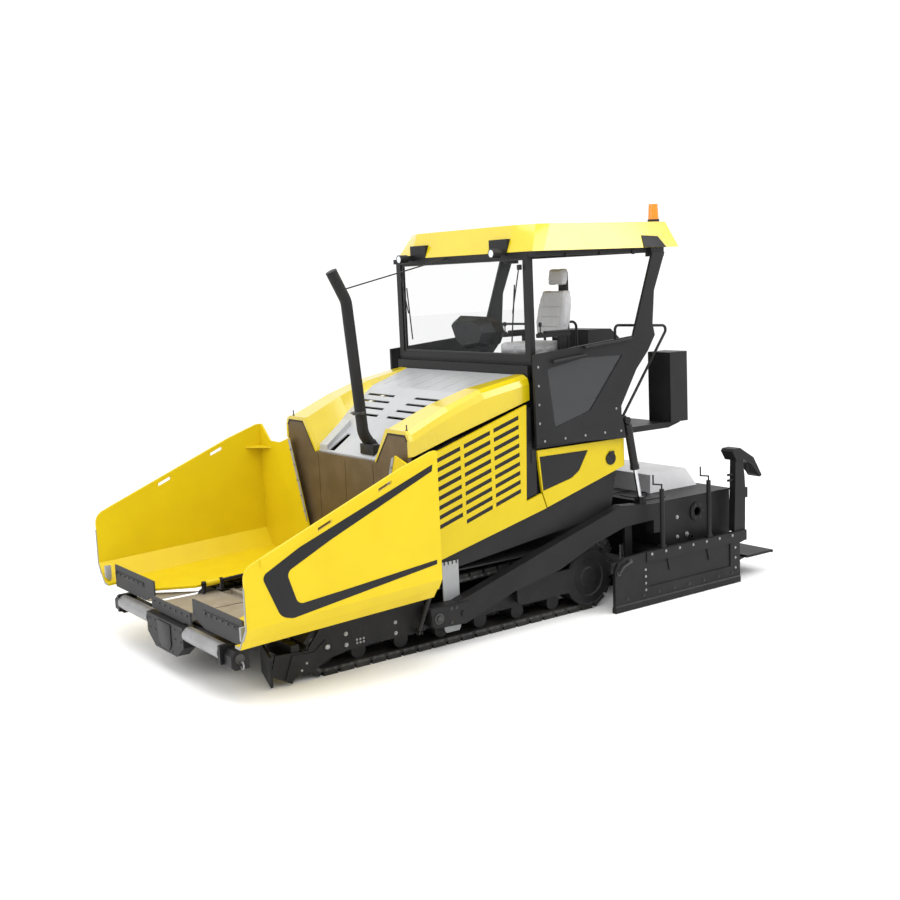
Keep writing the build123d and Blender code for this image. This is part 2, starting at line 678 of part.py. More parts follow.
# raised band along the top edge, and the two slots under it
band_low = [(x, z - rim) for x, z in reversed(top_points)]
band_front = wing_front - corner_r - 20
band = slab_xz(top_points + band_low, wing_face - 1, wing_half) & trim
band &= box(wing_rear, band_front, wing_face - 2, wing_half + 1, 400, 2100)
wing += band
edge_slope = (wing_low_front - top_points[2][1]) / (wing_front - top_points[2][0])
for x in (wing_rear + 545, wing_rear + 1140):
    z = on_line(x, *top_points[2], *top_points[3]) - 45
    corners = [(x - 68, z - 68 * edge_slope), (x + 68, z + 68 * edge_slope),
               (x + 68, z + 68 * edge_slope - 34), (x - 68, z - 68 * edge_slope - 34)]
    wing -= slab_xz(corners, wing_face - wing_plate - 5, wing_half + 5)
wing -= slab_xy([(wing_front - 620, hinge_y), (wing_front + 10, hinge_y), (wing_front + 10, 1010),
                 (wing_front - 80, 950)], 400, 700)
wing -= box(flap_x, wing_front + 10, hinge_y, 1405, 400, 620)
rear_low = low + wing_drop
wall_top = wing_high - 165
rear_wall = slab_yz([(640, rear_low + 5), (wing_half - bevel_in, rear_low + 5),
                     (wing_face - 5, rear_low + fold_rise), (wing_face - 5, wing_high),
                     (wing_face - 45, wing_high), (1420, wall_top), (1200, wall_top),
                     (1000, wing_high - 102), (680, 950)], wing_rear, wing_rear + 20)
wing += rear_wall
gusset_y = wing_face - wing_plate + 2
wing += slab_xy([(wing_rear + 18, gusset_y), (wing_rear + 18, gusset_y - 240), (wing_rear + 210, gusset_y)],
                wall_top - 75, wall_top - 63)

# ---------------------------------------------------------------- wing hinges
# the hinge line falls with the wing's floor, from its rear eye to its front eye
hinge_low = low + wing_plate / 2 + 18
eye_r = 30
pin_r = 16
eye_plate = 8


def hinge_point(x):
    return (x, hinge_y, hinge_low + wing_fall(x))


# rear end of each eye of the wing, and rear end and length of each lug of the frame
eyes = [wing_rear + 40, wing_rear + 580, wing_rear + 1100]
eye_long = 140
lugs = [(wing_rear + 15, 17), (wing_rear + 188, 32), (wing_rear + 540, 32), (wing_rear + 728, 32),
        (wing_rear + 1060, 32), (wing_rear + 1248, 27)]
for x in eyes:
    wing += rod(hinge_point(x), hinge_point(x + eye_long), eye_r)
    eye_z = low + wing_plate / 2 + wing_fall(x)
    wing += box(x, x + eye_long, hinge_y, hinge_y + 60, eye_z, eye_z + eye_plate)
wing -= rod(hinge_point(wing_rear - 80), hinge_point(wing_rear + 1320), pin_r + fit)
hinge = rod(hinge_point(wing_rear + 10), hinge_point(wing_rear + 1280), pin_r)
for x, long in lugs:
    z = hinge_point(x)[2]
    lug = [(hinge_y - 24, hopper_sill + 20), (hinge_y - 24, z + 12), (hinge_y - 12, z + 26),
           (hinge_y + 12, z + 26), (hinge_y + 24, z + 12), (hinge_y + 15, hopper_sill + 20)]
    hinge += slab_yz(lug, x, x + long)
    hinge += box(x, x + long, hinge_y - 15, frame_half, hopper_sill + 20, low - 12)
    hinge += box(x, x + long, frame_half - frame_plate, frame_half, hopper_sill, hopper_sill + 20)
save("wing_hinges", *both(hinge))

flap_low = low - 15
flap = slab_yz([(430, 735), (1400, 735), (1400, flap_low), (650, flap_low), (430, 600)], flap_x, flap_x + 16)
save_pair("wing_flap", flap)
apron_x = flap_x + 29
apron = slab_yz([(-430, 610), (430, 610), (430, 500), (-430, 500)], apron_x, apron_x + 16)
apron += box(frame_front, apron_x + 16, -300, 300, 490, 502)
save("front_apron", apron)

# ---------------------------------------------------------------- push beam
push_pin_x = frame_front + 42
block_half = 400
end_in = roller_out + seat
end_out = roller_out + 40
push = slab_yz([(-block_half, 482), (block_half, 482), (block_half, 300), (230, 190), (-230, 190),
                (-block_half, 300)], beam_x - 60, beam_x + 60)
push += box(beam_x - 130, beam_x - roller_r - clear, -end_out - 35, end_out + 35, 330, 450)
push -= box(beam_x - 140, beam_x - 105, -115, 115, 430, 460)
push += box(push_pin_x - 34, beam_x - 60, -60, 60, 330, 430)
push -= rod((push_pin_x, 0, 320), (push_pin_x, 0, 460), push_pin_r + fit)
end_block = [(beam_x - 130, 300), (beam_x - 130, 460), (beam_x - 10, 460), (beam_x + 30, 420),
             (beam_x + 30, 330), (beam_x, 300)]
for way in (-1, 1):
    push += box(beam_x - 130, beam_x + 60, way * end_in, way * end_out, 330, 490)
    push += slab_xz(end_block, way * end_out, way * (end_out + 145))
save("push_beam", push)
main_frame += box(frame_front - 20, push_pin_x + 32, -90, 90, 430 + seat, 452)
main_frame += box(frame_front - 20, push_pin_x + 32, -90, 90, 306, 330 - seat)
main_frame += box(frame_front - 20, frame_front, -90, 90, 306, 452)
main_frame += rod((push_pin_x, 0, 306), (push_pin_x, 0, 452), push_pin_r)
save("main_frame", main_frame)
save_pair("push_roller", across(beam_x, roller_z, roller_in + seat, roller_out, roller_r))

# ---------------------------------------------------------------- tow arms
lift_y = (arm_in + arm_out) / 2
lift_top = (-1270, 1890)
lift_foot = (-1430, 1060)
lift_pin_r = 16
arm_outline = [(tow_x + 100, 440), (tow_x + 80, 275), (tow_x + 45, 240), (tow_x - 310, 225), (290, 420),
               (-280, 530), (-750, 710), (-1160, 820), (screed_front, 830), (screed_front, screed_top),
               (-1120, 1040), (-240, 790), (960, 440)]
arm = slab_xz(arm_outline, arm_in, arm_out)
outer_plate = [(tow_x + 90, 432), (tow_x + 72, 282), (tow_x + 38, 250), (tow_x - 300, 236),
               (tow_x - 345, 300), (tow_x - 345, 432)]
arm += slab_xz(outer_plate, arm_out, arm_out + 10)
arm += across(tow_x - 277, tow_z, arm_out + 10, arm_out + 24, 26)
arm -= across(tow_x, tow_z, arm_in - 5, arm_out + 15, tow_pin_r + fit)
ear_z = lift_foot[1]
for y in (lift_y - 42, lift_y + 24):
    arm += slab_xz([(-1480, 990), (-1465, ear_z + 25), (-1395, ear_z + 25), (-1380, 990)], y, y + 18)
for y in (lift_y - 50, lift_y + 42):
    arm += across(*lift_foot, y, y + 8, lift_pin_r)
save("tow_arms", *both(arm))

# notched guide plates that the fronts of the tow arms run along
scale_in = bay_out + 5
scale_outline = [(845, 800), (845, 160), (865, 130), (1010, 130), (1030, 160), (1030, 800)]
scale = slab_xz(scale_outline, scale_in, scale_in + 10)
for number in range(4):
    x = 868 + number * 46
    scale -= box(x - 8, x + 8, scale_in - 5, scale_in + 15, 770, 805)
scale += box(900, 980, bay_out, scale_in, 730, 765)
save("scale_plates", *both(scale))

# ---------------------------------------------------------------- screed
screed = box(screed_front, slide_x, -screed_half, screed_half, 60, upper_low)
screed += box(screed_front - 40, slide_x, -upper_half, upper_half, 0, 60)
screed += box(upper_front, upper_rear, -upper_half, upper_half, upper_low, screed_top - sheet)
screed -= box(screed_front - sheet, slide_x + sheet, sheet - screed_half, screed_half - sheet, 80, upper_low)
screed -= box(upper_front - sheet, upper_rear + sheet, sheet - upper_half, upper_half - sheet,
              upper_low - 5, screed_top - sheet)
screed += box(screed_front, upper_front - sheet, -screed_half, screed_half, upper_low - sheet, upper_low)
screed += box(screed_front, upper_rear - 20, -upper_half, upper_half, screed_top - sheet, screed_top)
ring_x = -2225
for way in (-1, 1):
    screed += box(screed_front, upper_front, way * arm_in, way * arm_out, 690, screed_top)
    screed += across(ring_x, 820, way * (upper_half - 2), way * (upper_half + 14), 100)
    screed += across(ring_x + 85, 560, way * (upper_half - 2), way * (upper_half + 14), 32)
    screed -= across(ring_x, 820, way * (upper_half - sheet - 5), way * (upper_half + 20), 48)
    screed -= across(ring_x + 85, 560, way * (upper_half - sheet - 5), way * (upper_half + 20), 18)
save("screed_frame", screed)
cover_foot = level([(-1960, 830), (-1960, -830), (-2680, -830), (-2680, 830)], screed_top)
cover_head = level([(-2000, 800), (-2000, -800), (-2600, -740), (-2600, 740)], screed_top + 190)
cover = loft([cover_foot, cover_head], ruled=True)
save("screed_cover", cover)

# extension: end plate with its raised frame, runner, inner box and walkway
beam_front = -1290
plate_outline = [(end_front, 0), (end_front - 8, 430), (end_front - 50, 505), (end_front - 138, 545),
                 (beam_front, beam_top), (end_rear - 100, beam_top), (end_rear - 100, beam_low),
                 (end_rear, beam_low - 20), (end_rear, 0)]
recess = [(beam_front - 30, 195), (beam_front - 30, beam_low - 20), (beam_front - 60, beam_low),
          (end_rear + 150, beam_low), (end_rear + 150, 195)]
extension = slab_xz(plate_outline, plate_in, plate_out)
extension += slab_xz(plate_outline, plate_out, plate_out + 12) - slab_xz(recess, plate_out, plate_out + 15)
extension += box(beam_front, end_rear - 100, plate_in - 10, plate_out + 22, beam_low, beam_top)
extension += box(end_front, end_rear, plate_in - 10, plate_out + 20, 0, 60)
for x in (-1620, -2210):
    gusset = [(x - 32, beam_low), (x + 32, beam_low), (x, beam_low - 130)]
    extension += slab_xz(gusset, plate_out, plate_out + 12)
extension += box(slide_x - seat, end_rear, 12, plate_in, 0, upper_low - seat)
extension -= box(slide_x - sheet, end_rear + sheet, 0, plate_in - sheet, 60, upper_low - sheet)
walk_front = end_rear - 180
extension += box(walk_front, walk_rear + 18, 20, plate_in - 20, walk_top - 28, walk_top)
extension += across(walk_rear + 18, walk_top - 18, 20, plate_in - 20, 18)
for y in (200, 1140):
    extension += slab_xz([(end_rear, 100), (end_rear, walk_top), (walk_front, walk_top),
                          (walk_front, walk_top - 28), (walk_rear + 120, walk_top - 28),
                          (walk_rear + 120, walk_top - 50)], y, y + 60)
save_pair("screed_extension", extension)

# posts with their cranks, and the screed operator's stand on the beam
post_y = (plate_in + plate_out) / 2
post_top_z = 1170
stand = Part()
posts = Part()
for x in (-1550, -2240):
    posts += upright((x, post_y), beam_top, post_top_z, 24)
    posts += box(x - 34, x + 34, post_y - 34, post_y + 20, beam_top, beam_top + 30)
    crank = [(x, post_y, post_top_z - 5), (x, post_y, 1215), (x + 120, post_y, 1235), (x + 120, post_y, 1325)]
    posts += jointed(crank, 8)
stand_in = plate_in - 55
stand_out = plate_out
stand = slab_xz([(-2620, beam_top), (-2790, beam_top), (-2800, 1000), (-2790, 1150), (-2765, 1330),
                 (-2650, 1330), (-2640, 1050)], stand_in, stand_out)
stand += slab_xz([(-2585, 1432), (-2610, 1458), (-2705, 1462), (-2920, 1335), (-3050, 1125), (-3020, 1110),
                  (-2880, 1270), (-2765, 1330), (-2650, 1330)], stand_in - 70, stand_out + 15)
for z in (1120, 1180):
    stand += rod((-2650, post_y - 20, z), (-2560, post_y - 20, z), 13)
stand += box(-2870, -2780, stand_in + 20, stand_in + 50, 900, 1010)
loop_y = stand_out - 10
stand += jointed([(-2850, loop_y, 1290), (-2850, loop_y, 1165), (-3040, loop_y, 1125)], 8)
save("screed_console_left", posts, stand)
save("screed_console_right", other(posts), other(stand))

# ---------------------------------------------------------------- augers
auger_x = -1345
auger_z = 400
auger_r = 175
auger_tube = 45
auger_end = 1100
auger_pitch = 300
blades = 8              # flat blades in one turn of the flight
blade = 12
gear_half = 90
auger = across(auger_x, auger_z, gear_half + seat, auger_end, auger_tube)
flight_start = gear_half + 40
flight_long = auger_end - flight_start - 40
reach = auger_r - auger_tube + 15
blade_mean = 2 * pi * 0.62 * auger_r
blade_span = 1.45 * blade_mean / blades
blade_tilt = degrees(atan2(auger_pitch, blade_mean))
for number in range(int(flight_long / auger_pitch * blades) + 1):
    y = flight_start + number * auger_pitch / blades
    turn = Pos(auger_x, y, auger_z) * Rot(0, number * 360 / blades, 0) * Pos(0, 0, auger_tube - 15 + reach / 2)
    auger += turn * Rot(0, 0, blade_tilt) * Box(blade_span, blade, reach)
save_pair("auger", auger)
gear = box(auger_x - 110, auger_x + 110, -gear_half, gear_half, 250, 700)
gear += box(auger_x - 60, frame_rear + 120, -60, 60, 700, tunnel_roof - 20)
hanger = box(auger_x - 50, auger_x + 50, auger_end + seat, auger_end + 25, 340, 1010)
hanger += box(auger_x + 50, -1080, auger_end + seat, bay_in, 850, 1010)
save("auger_support", gear, *both(hanger))

# ---------------------------------------------------------------- lift cylinders
barrel_r = 42
lift_rod_r = 22
barrel_long = 518
rod_long = 500
lift_length = hypot(lift_foot[0] - lift_top[0], lift_foot[1] - lift_top[1])


def on_lift(distance, y=lift_y):
    x, z = along(lift_top, lift_foot, distance)
    return (x, y, z)


lift_barrel = rod(on_lift(40), on_lift(barrel_long), barrel_r)
lift_barrel += rod(on_lift(barrel_long - 40), on_lift(barrel_long), barrel_r + 6)
lift_barrel += rod(on_lift(0, lift_y - 20), on_lift(0, lift_y + 20), 38)
lift_barrel += rod(on_lift(10), on_lift(50), 20)
lift_barrel -= rod(on_lift(60), on_lift(barrel_long + 5), lift_rod_r + fit)
lift_barrel -= rod(on_lift(0, lift_y - 25), on_lift(0, lift_y + 25), lift_pin_r + fit)
lift_rod = rod(on_lift(lift_length - rod_long), on_lift(lift_length - 30), lift_rod_r)
lift_rod += rod(on_lift(lift_length, lift_y - 23.5), on_lift(lift_length, lift_y + 23.5), 34)
save_pair("lift_barrel", lift_barrel)
save_pair("lift_rod", lift_rod)
carrier = box(lift_top[0] - 60, lift_top[0] + 40, 1140, 1152, floor_z - floor_plate, lift_top[1] + 40)
carrier += rod((lift_top[0], 1152, lift_top[1]), (lift_top[0], lift_y + 22, lift_top[1]), lift_pin_r)
platform += carrier + other(carrier)
save("platform", platform)

# ---------------------------------------------------------------- wing cylinders
# behind the rear walls of the wings: (y, z) of the foot and of the head
wing_foot = (skirt_out + 59, 215)
wing_head = (wing_half - 190, 720)
tilt_x = wing_rear - 28
tilt_pin_r = 12
tilt_rod_r = 15
tilt_barrel_r = 22
tilt_eye_r = 26
tilt_length = hypot(wing_head[0] - wing_foot[0], wing_head[1] - wing_foot[1])


def on_tilt(distance, x=tilt_x):
    y, z = along(wing_foot, wing_head, distance)
    return (x, y, z)


tilt_barrel = rod(on_tilt(34), on_tilt(530), tilt_barrel_r)
tilt_barrel += rod(on_tilt(17), on_tilt(36), 10)
tilt_barrel += rod(on_tilt(0, tilt_x - 12), on_tilt(0, tilt_x + 12), tilt_eye_r)
tilt_barrel -= rod(on_tilt(36), on_tilt(535), tilt_rod_r + fit)
tilt_barrel -= rod(on_tilt(0, tilt_x - 15), on_tilt(0, tilt_x + 15), tilt_pin_r + fit)
tilt_rod = rod(on_tilt(40), on_tilt(tilt_length - 20), tilt_rod_r)
tilt_rod += rod(on_tilt(tilt_length, tilt_x - 12), on_tilt(tilt_length, tilt_x + 15.7), tilt_eye_r)
tilt_rod += rod(on_tilt(tilt_length, tilt_x - 20), on_tilt(tilt_length, tilt_x - 12), tilt_pin_r)
save_pair("wing_barrel", tilt_barrel)
save_pair("wing_rod", tilt_rod)
track_guard += box(tilt_x - 32, tilt_x - 24, skirt_out, wing_foot[0] + 25,
                   wing_foot[1] - 22, wing_foot[1] + 22)
track_guard += rod((tilt_x - 32, *wing_foot), (tilt_x + 16, *wing_foot), tilt_pin_r)
save("track_guards", *both(track_guard))
wing += rod((tilt_x + 16, *wing_head), (wing_rear + 5, *wing_head), 30)
save_pair("wing", wing)
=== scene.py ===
import math

import bpy
from mathutils import Matrix, Vector


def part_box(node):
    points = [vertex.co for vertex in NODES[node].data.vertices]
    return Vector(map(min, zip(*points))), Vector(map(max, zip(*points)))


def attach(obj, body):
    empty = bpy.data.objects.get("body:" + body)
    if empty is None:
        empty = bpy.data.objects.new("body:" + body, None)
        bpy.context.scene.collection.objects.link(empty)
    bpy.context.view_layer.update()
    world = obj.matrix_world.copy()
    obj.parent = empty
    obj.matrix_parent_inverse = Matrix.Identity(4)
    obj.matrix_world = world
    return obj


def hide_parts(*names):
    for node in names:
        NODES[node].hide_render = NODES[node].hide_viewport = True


bl_info = {
    "name": "Tracked paver dressing",
    "version": (1, 1, 0),
    "blender": (4, 5, 0),
    "location": "View3D > Sidebar > Paver",
    "description": "Finishes the packed tracked paver with materials, small parts, a seat and a studio",
    "category": "Object",
}

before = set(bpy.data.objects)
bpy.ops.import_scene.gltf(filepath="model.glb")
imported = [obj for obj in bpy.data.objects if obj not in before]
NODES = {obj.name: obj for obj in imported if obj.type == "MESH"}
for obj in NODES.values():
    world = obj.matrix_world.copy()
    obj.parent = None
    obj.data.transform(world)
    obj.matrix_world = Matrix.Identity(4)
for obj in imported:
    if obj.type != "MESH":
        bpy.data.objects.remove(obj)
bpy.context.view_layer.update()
SIDES = ((1, "left"), (-1, "right"))
OUTLINE_AXES = {"xz": (0, 2, 1), "yz": (1, 2, 0), "xy": (0, 1, 2)}
FACING = {"+x": (1, 0, 0), "-x": (-1, 0, 0), "+y": (0, 1, 0), "+z": (0, 0, 1)}


# ---------------------------------------------------------------- small modelling helpers
def deselect():
    if bpy.context.object and bpy.context.object.mode != "OBJECT":
        bpy.ops.object.mode_set(mode="OBJECT")
    bpy.ops.object.select_all(action="DESELECT")


def activate(piece):
    deselect()
    piece.select_set(True)
    bpy.context.view_layer.objects.active = piece


def select_nothing(piece, mode):
    """Leaves a piece with none of its corners, edges and faces selected, in one select mode."""
    activate(piece)
    bpy.ops.object.mode_set(mode="EDIT")
    bpy.ops.mesh.select_mode(type=mode)
    bpy.ops.mesh.select_all(action="DESELECT")
    bpy.ops.object.mode_set(mode="OBJECT")


def open_top(piece):
    """Opens a piece for editing with its upward faces selected."""
    select_nothing(piece, "FACE")
    for face in piece.data.polygons:
        face.select = face.normal.z > 0.9
    bpy.ops.object.mode_set(mode="EDIT")


def open_all(piece):
    """Opens a piece for editing with all of it selected."""
    activate(piece)
    bpy.ops.object.mode_set(mode="EDIT")
    bpy.ops.mesh.select_all(action="SELECT")


def modify(piece, kind, **settings):
    """Adds a modifier and applies it."""
    activate(piece)
    modifier = piece.modifiers.new("shaping", kind)
    for label, value in settings.items():
        setattr(modifier, label, value)
    bpy.ops.object.modifier_apply(modifier=modifier.name)


def soften(piece, width, segments=2):
    """Rounds the sharp edges."""
    modify(piece, "BEVEL", width=width, segments=segments, limit_method="ANGLE", angle_limit=math.radians(35),
           use_clamp_overlap=True)


def outward(piece):
    """Turns the faces of a closed piece outwards."""
    open_all(piece)
    bpy.ops.mesh.normals_make_consistent(inside=False)
    bpy.ops.object.mode_set(mode="OBJECT")


def place_now(piece):
    """Puts the place, turn and scale of a piece into its mesh."""
    activate(piece)
    bpy.ops.object.transform_apply(location=True, rotation=True, scale=True)


def duplicate(piece):
    """A copy of a piece with its own mesh."""
    copy = piece.copy()
    copy.data = piece.data.copy()
    bpy.context.collection.objects.link(copy)
    return copy


def joined(pieces):
    """Makes several pieces one piece."""
    deselect()
    for piece in pieces:
        piece.select_set(True)
    bpy.context.view_layer.objects.active = pieces[0]
    if len(pieces) > 1:
        bpy.ops.object.join()
    return pieces[0]


def rectangle(a0, b0, a1, b1):
    """The outline of a rectangle between two corners."""
    return [(a0, b0), (a1, b0), (a1, b1), (a0, b1)]


def plate(outline, plane, start, thick, edge=0.0, rounded=None, border=0.0):
    """A flat plate: a disc with a corner for each point of the outline, drawn out to its thickness.

    rounded gives the radius of some corners; border leaves only a frame of that width."""
    first, second, third = OUTLINE_AXES[plane]
    deselect()
    bpy.ops.mesh.primitive_circle_add(vertices=len(outline), radius=1.0, fill_type="NGON")
    piece = bpy.context.object
    for vertex, (a, b) in zip(piece.data.vertices, outline):
        vertex.co[first], vertex.co[second], vertex.co[third] = a, b, start
    for radius in sorted(set((rounded or {}).values())):
        corners = [outline[number] for number, value in rounded.items() if value == radius]
        select_nothing(piece, "VERT")
        for vertex in piece.data.vertices:
            here = (vertex.co[first], vertex.co[second])
            vertex.select = any(math.dist(here, corner) < 0.0005 for corner in corners)
        bpy.ops.object.mode_set(mode="EDIT")
        bpy.ops.mesh.bevel(offset=radius, segments=6, affect="VERTICES")
        bpy.ops.object.mode_set(mode="OBJECT")
    select_nothing(piece, "FACE")
    open_all(piece)
    if border:
        bpy.ops.mesh.inset(thickness=border, depth=0.0)
        bpy.ops.mesh.delete(type="FACE")
        bpy.ops.mesh.select_all(action="SELECT")
    way = [0.0, 0.0, 0.0]
    way[third] = thick
    bpy.ops.mesh.extrude_region_move(TRANSFORM_OT_translate={"value": way})
    bpy.ops.object.mode_set(mode="OBJECT")
    outward(piece)
    if edge:
        soften(piece, edge)
    return piece


def block(low, high, edge):
    """A block between two corners with rounded edges."""
    deselect()
    middle = [(a + b) / 2 for a, b in zip(low, high)]
    bpy.ops.mesh.primitive_cube_add(size=1.0, location=middle)
    piece = bpy.context.object
    piece.scale = [abs(b - a) for a, b in zip(low, high)]
    place_now(piece)
    soften(piece, edge)
    return piece


def disc(middle, facing, radius, thick, edge=0.0, sides=28, dish=0.0):
    """A round plate standing on its middle point; dish sinks its face inside a rim."""
    deselect()
    bpy.ops.mesh.primitive_cylinder_add(vertices=sides, radius=radius, depth=thick,
                                        location=(0, 0, thick / 2))
    piece = bpy.context.object
    place_now(piece)
    if dish:
        open_top(piece)
        bpy.ops.mesh.inset(thickness=radius * 0.16, depth=0.0)
        bpy.ops.mesh.inset(thickness=radius * 0.06, depth=-dish)
        bpy.ops.object.mode_set(mode="OBJECT")
    if edge:
        soften(piece, edge)
    piece.matrix_world = turned(middle, facing)
    place_now(piece)
    return piece


def turned(middle, facing):
    """Carries a piece that stands at the origin to its place, with its top facing one way."""
    way = Vector(FACING.get(facing, facing))
    return Matrix.Translation(middle) @ way.to_track_quat("Z", "Y").to_matrix().to_4x4()


def tube(points, radius):
    """A round bar that follows the points, made from a path and then turned into a mesh."""
    deselect()
    bpy.ops.curve.primitive_nurbs_path_add()
    piece = bpy.context.object
    piece.data.splines.clear()
    run = piece.data.splines.new("POLY")
    run.points.add(len(points) - 1)
    for knot, point in zip(run.points, points):
        knot.co = (*point, 1.0)
    piece.data.bevel_depth = radius
    piece.data.bevel_resolution = 3
    piece.data.use_fill_caps = True
    bpy.ops.object.convert(target="MESH")
    piece = bpy.context.object
    outward(piece)
    return piece


def ring(middle, facing, radius, thick):
    """A ring of round bar, thick being the bar's radius."""
    deselect()
    bpy.ops.mesh.primitive_torus_add(major_segments=28, minor_segments=8, major_radius=radius,
                                     minor_radius=thick)
    piece = bpy.context.object
    piece.matrix_world = turned(middle, facing)
    place_now(piece)
    return piece


def bolt(radius):
    """A bolt head on its washer, standing at the origin."""
    deselect()
    bpy.ops.mesh.primitive_cylinder_add(vertices=14, radius=radius * 1.5, depth=radius * 0.3,
                                        location=(0, 0, radius * 0.15))
    washer = bpy.context.object
    place_now(washer)
    deselect()
    bpy.ops.mesh.primitive_cylinder_add(vertices=6, radius=radius, depth=radius * 0.8,
                                        location=(0, 0, radius * 0.7))
    head = bpy.context.object
    place_now(head)
    open_top(head)
    bpy.ops.mesh.bevel(offset=radius * 0.16, segments=1, affect="EDGES")
    bpy.ops.object.mode_set(mode="OBJECT")
    return joined([washer, head])


def repeated(pattern, places):
    """Copies of one modelled piece, each with its own mesh, as one piece. places: (x, y, z, facing)."""
    made = []
    for x, y, z, facing in places:
        copy = duplicate(pattern)
        copy.matrix_world = turned((x, y, z), facing)
        place_now(copy)
        made.append(copy)
    bpy.data.objects.remove(pattern)
    return joined(made)


def settle(piece, name, body, material, smooth=30):
    """Names a finished piece, gives it its finish and lets it ride on a body."""
    place_now(piece)
    piece.name = name
    piece.data.name = name
    piece.data.materials.clear()
    piece.data.materials.append(bpy.data.materials[material])
    bpy.ops.object.shade_smooth_by_angle(angle=math.radians(smooth))
    piece.select_set(False)
    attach(piece, body)


def opposite(piece):
    """The same piece on the other side of the machine."""
    copy = duplicate(piece)
    for vertex in copy.data.vertices:
        vertex.co.y = -vertex.co.y
    open_all(copy)
    bpy.ops.mesh.flip_normals()
    bpy.ops.object.mode_set(mode="OBJECT")
    return copy


def settle_pair(piece, name, body, material):
    """Settles a left piece and its copy on the right. A body ending in _ has a left and a right one."""
    other = opposite(piece)
    for side, one in (("left", piece), ("right", other)):
        settle(one, f"{name}_{side}", body + side if body.endswith("_") else body, material)


def settle_bolts(radius, places, name, body, material="bolt steel"):
    """Bolt heads at some places on the left and on the right, as one piece a side."""
    settle_pair(repeated(bolt(radius), places), name, body, material)


# ---------------------------------------------------------------- shader groups
def new_group(name, inputs, output):
    """A shader group with its inputs, each a name and a default, and its one output."""
    group = bpy.data.node_groups.new(name, "ShaderNodeTree")
    for label, default in inputs.items():
        socket = group.interface.new_socket(name=label, in_out="INPUT", socket_type="NodeSocketFloat")
        socket.default_value = default
    group.interface.new_socket(name=output, in_out="OUTPUT", socket_type="NodeSocketFloat")
    return group, group.nodes.new("NodeGroupInput"), group.nodes.new("NodeGroupOutput")


def object_place(tree):
    """The place on the piece, in Object coordinates."""
    return tree.nodes.new("ShaderNodeTexCoord").outputs["Object"]


def noise(tree, vector, scale, detail):
    node = tree.nodes.new("ShaderNodeTexNoise")
    node.inputs["Scale"].default_value = scale
    node.inputs["Detail"].default_value = detail
    node.inputs["Roughness"].default_value = 0.55
    tree.links.new(vector, node.inputs["Vector"])
    return node.outputs["Fac"]


def ramp(tree, value, low, high):
    """0 below low, 1 above high."""
    node = tree.nodes.new("ShaderNodeMapRange")
    node.inputs["From Min"].default_value = low
    node.inputs["From Max"].default_value = high
    tree.links.new(value, node.inputs["Value"])
    return node.outputs["Result"]


def join_values(tree, kind, first, second):
    """One sum of two values, each a number or an output."""
    node = tree.nodes.new("ShaderNodeMath")
    node.operation = kind
    for socket, value in zip(node.inputs, (first, second)):
        if isinstance(value, (int, float)):
            socket.default_value = value
        else:
            tree.links.new(value, socket)
    return node.outputs["Value"]


def times(tree, first, second):
    return join_values(tree, "MULTIPLY", first, second)


def plus(tree, first, second):
    return join_values(tree, "ADD", first, second)


def mix_colours(tree, amount, first, second):
    """The first colour where the amount is 0 and the second where it is 1."""
    node = tree.nodes.new("ShaderNodeMix")
    node.data_type = "RGBA"
    tree.links.new(amount, node.inputs["Factor"])
    for socket, colour in ((node.inputs["A"], first), (node.inputs["B"], second)):
        if isinstance(colour, tuple):
            socket.default_value = (*colour, 1.0)
        else:
            tree.links.new(colour, socket)
    return node.outputs["Result"]


def dust_group():
    """Dust that lies on low and upward surfaces, in patches."""
    group, given, out = new_group("settled dust", {"Height": 1.0, "Amount": 0.5}, "Mask")
    place = object_place(group)
    parts = group.nodes.new("ShaderNodeSeparateXYZ")
    group.links.new(place, parts.inputs["Vector"])
    facing = group.nodes.new("ShaderNodeSeparateXYZ")
    group.links.new(group.nodes.new("ShaderNodeNewGeometry").outputs["Normal"], facing.inputs["Vector"])
    share = join_values(group, "DIVIDE", parts.outputs["Z"], given.outputs["Height"])
    lowness = join_values(group, "SUBTRACT", 1.0, share)
    near_ground = ramp(group, lowness, 0.0, 1.0)
    upward = ramp(group, facing.outputs["Z"], 0.3, 1.0)
    patches = ramp(group, noise(group, place, 6.0, 5.0), 0.38, 0.68)
    fine = ramp(group, noise(group, place, 60.0, 4.0), 0.3, 0.7)
    spread = plus(group, near_ground, times(group, upward, 0.6))
    broken = times(group, patches, plus(group, times(group, fine, 0.5), 0.5))
    full = times(group, times(group, spread, broken), given.outputs["Amount"])
    group.links.new(full, out.inputs["Mask"])
    return group


def grain_group():
    """Fine height for the Bump of a coat, a casting or a weave."""
    group, given, out = new_group("surface grain", {"Scale": 200.0}, "Height")
    texture = group.nodes.new("ShaderNodeTexNoise")
    texture.inputs["Detail"].default_value = 4.0
    group.links.new(object_place(group), texture.inputs["Vector"])
    group.links.new(given.outputs["Scale"], texture.inputs["Scale"])
    group.links.new(texture.outputs["Fac"], out.inputs["Height"])
    return group


def scuff_group():
    """Long scratches and rubbed patches, as on a steel plate that mix slides over."""
    group, given, out = new_group("scuffs", {"Amount": 0.5}, "Mask")
    place = object_place(group)
    stretch = group.nodes.new("ShaderNodeMapping")
    stretch.inputs["Scale"].default_value = (2.0, 26.0, 26.0)
    group.links.new(place, stretch.inputs["Vector"])
    streaks = ramp(group, noise(group, stretch.outputs["Vector"], 3.0, 5.0), 0.5, 0.72)
    patches = ramp(group, noise(group, place, 5.0, 4.0), 0.4, 0.66)
    full = times(group, join_values(group, "MAXIMUM", streaks, patches), given.outputs["Amount"])
    group.links.new(full, out.inputs["Mask"])
    return group


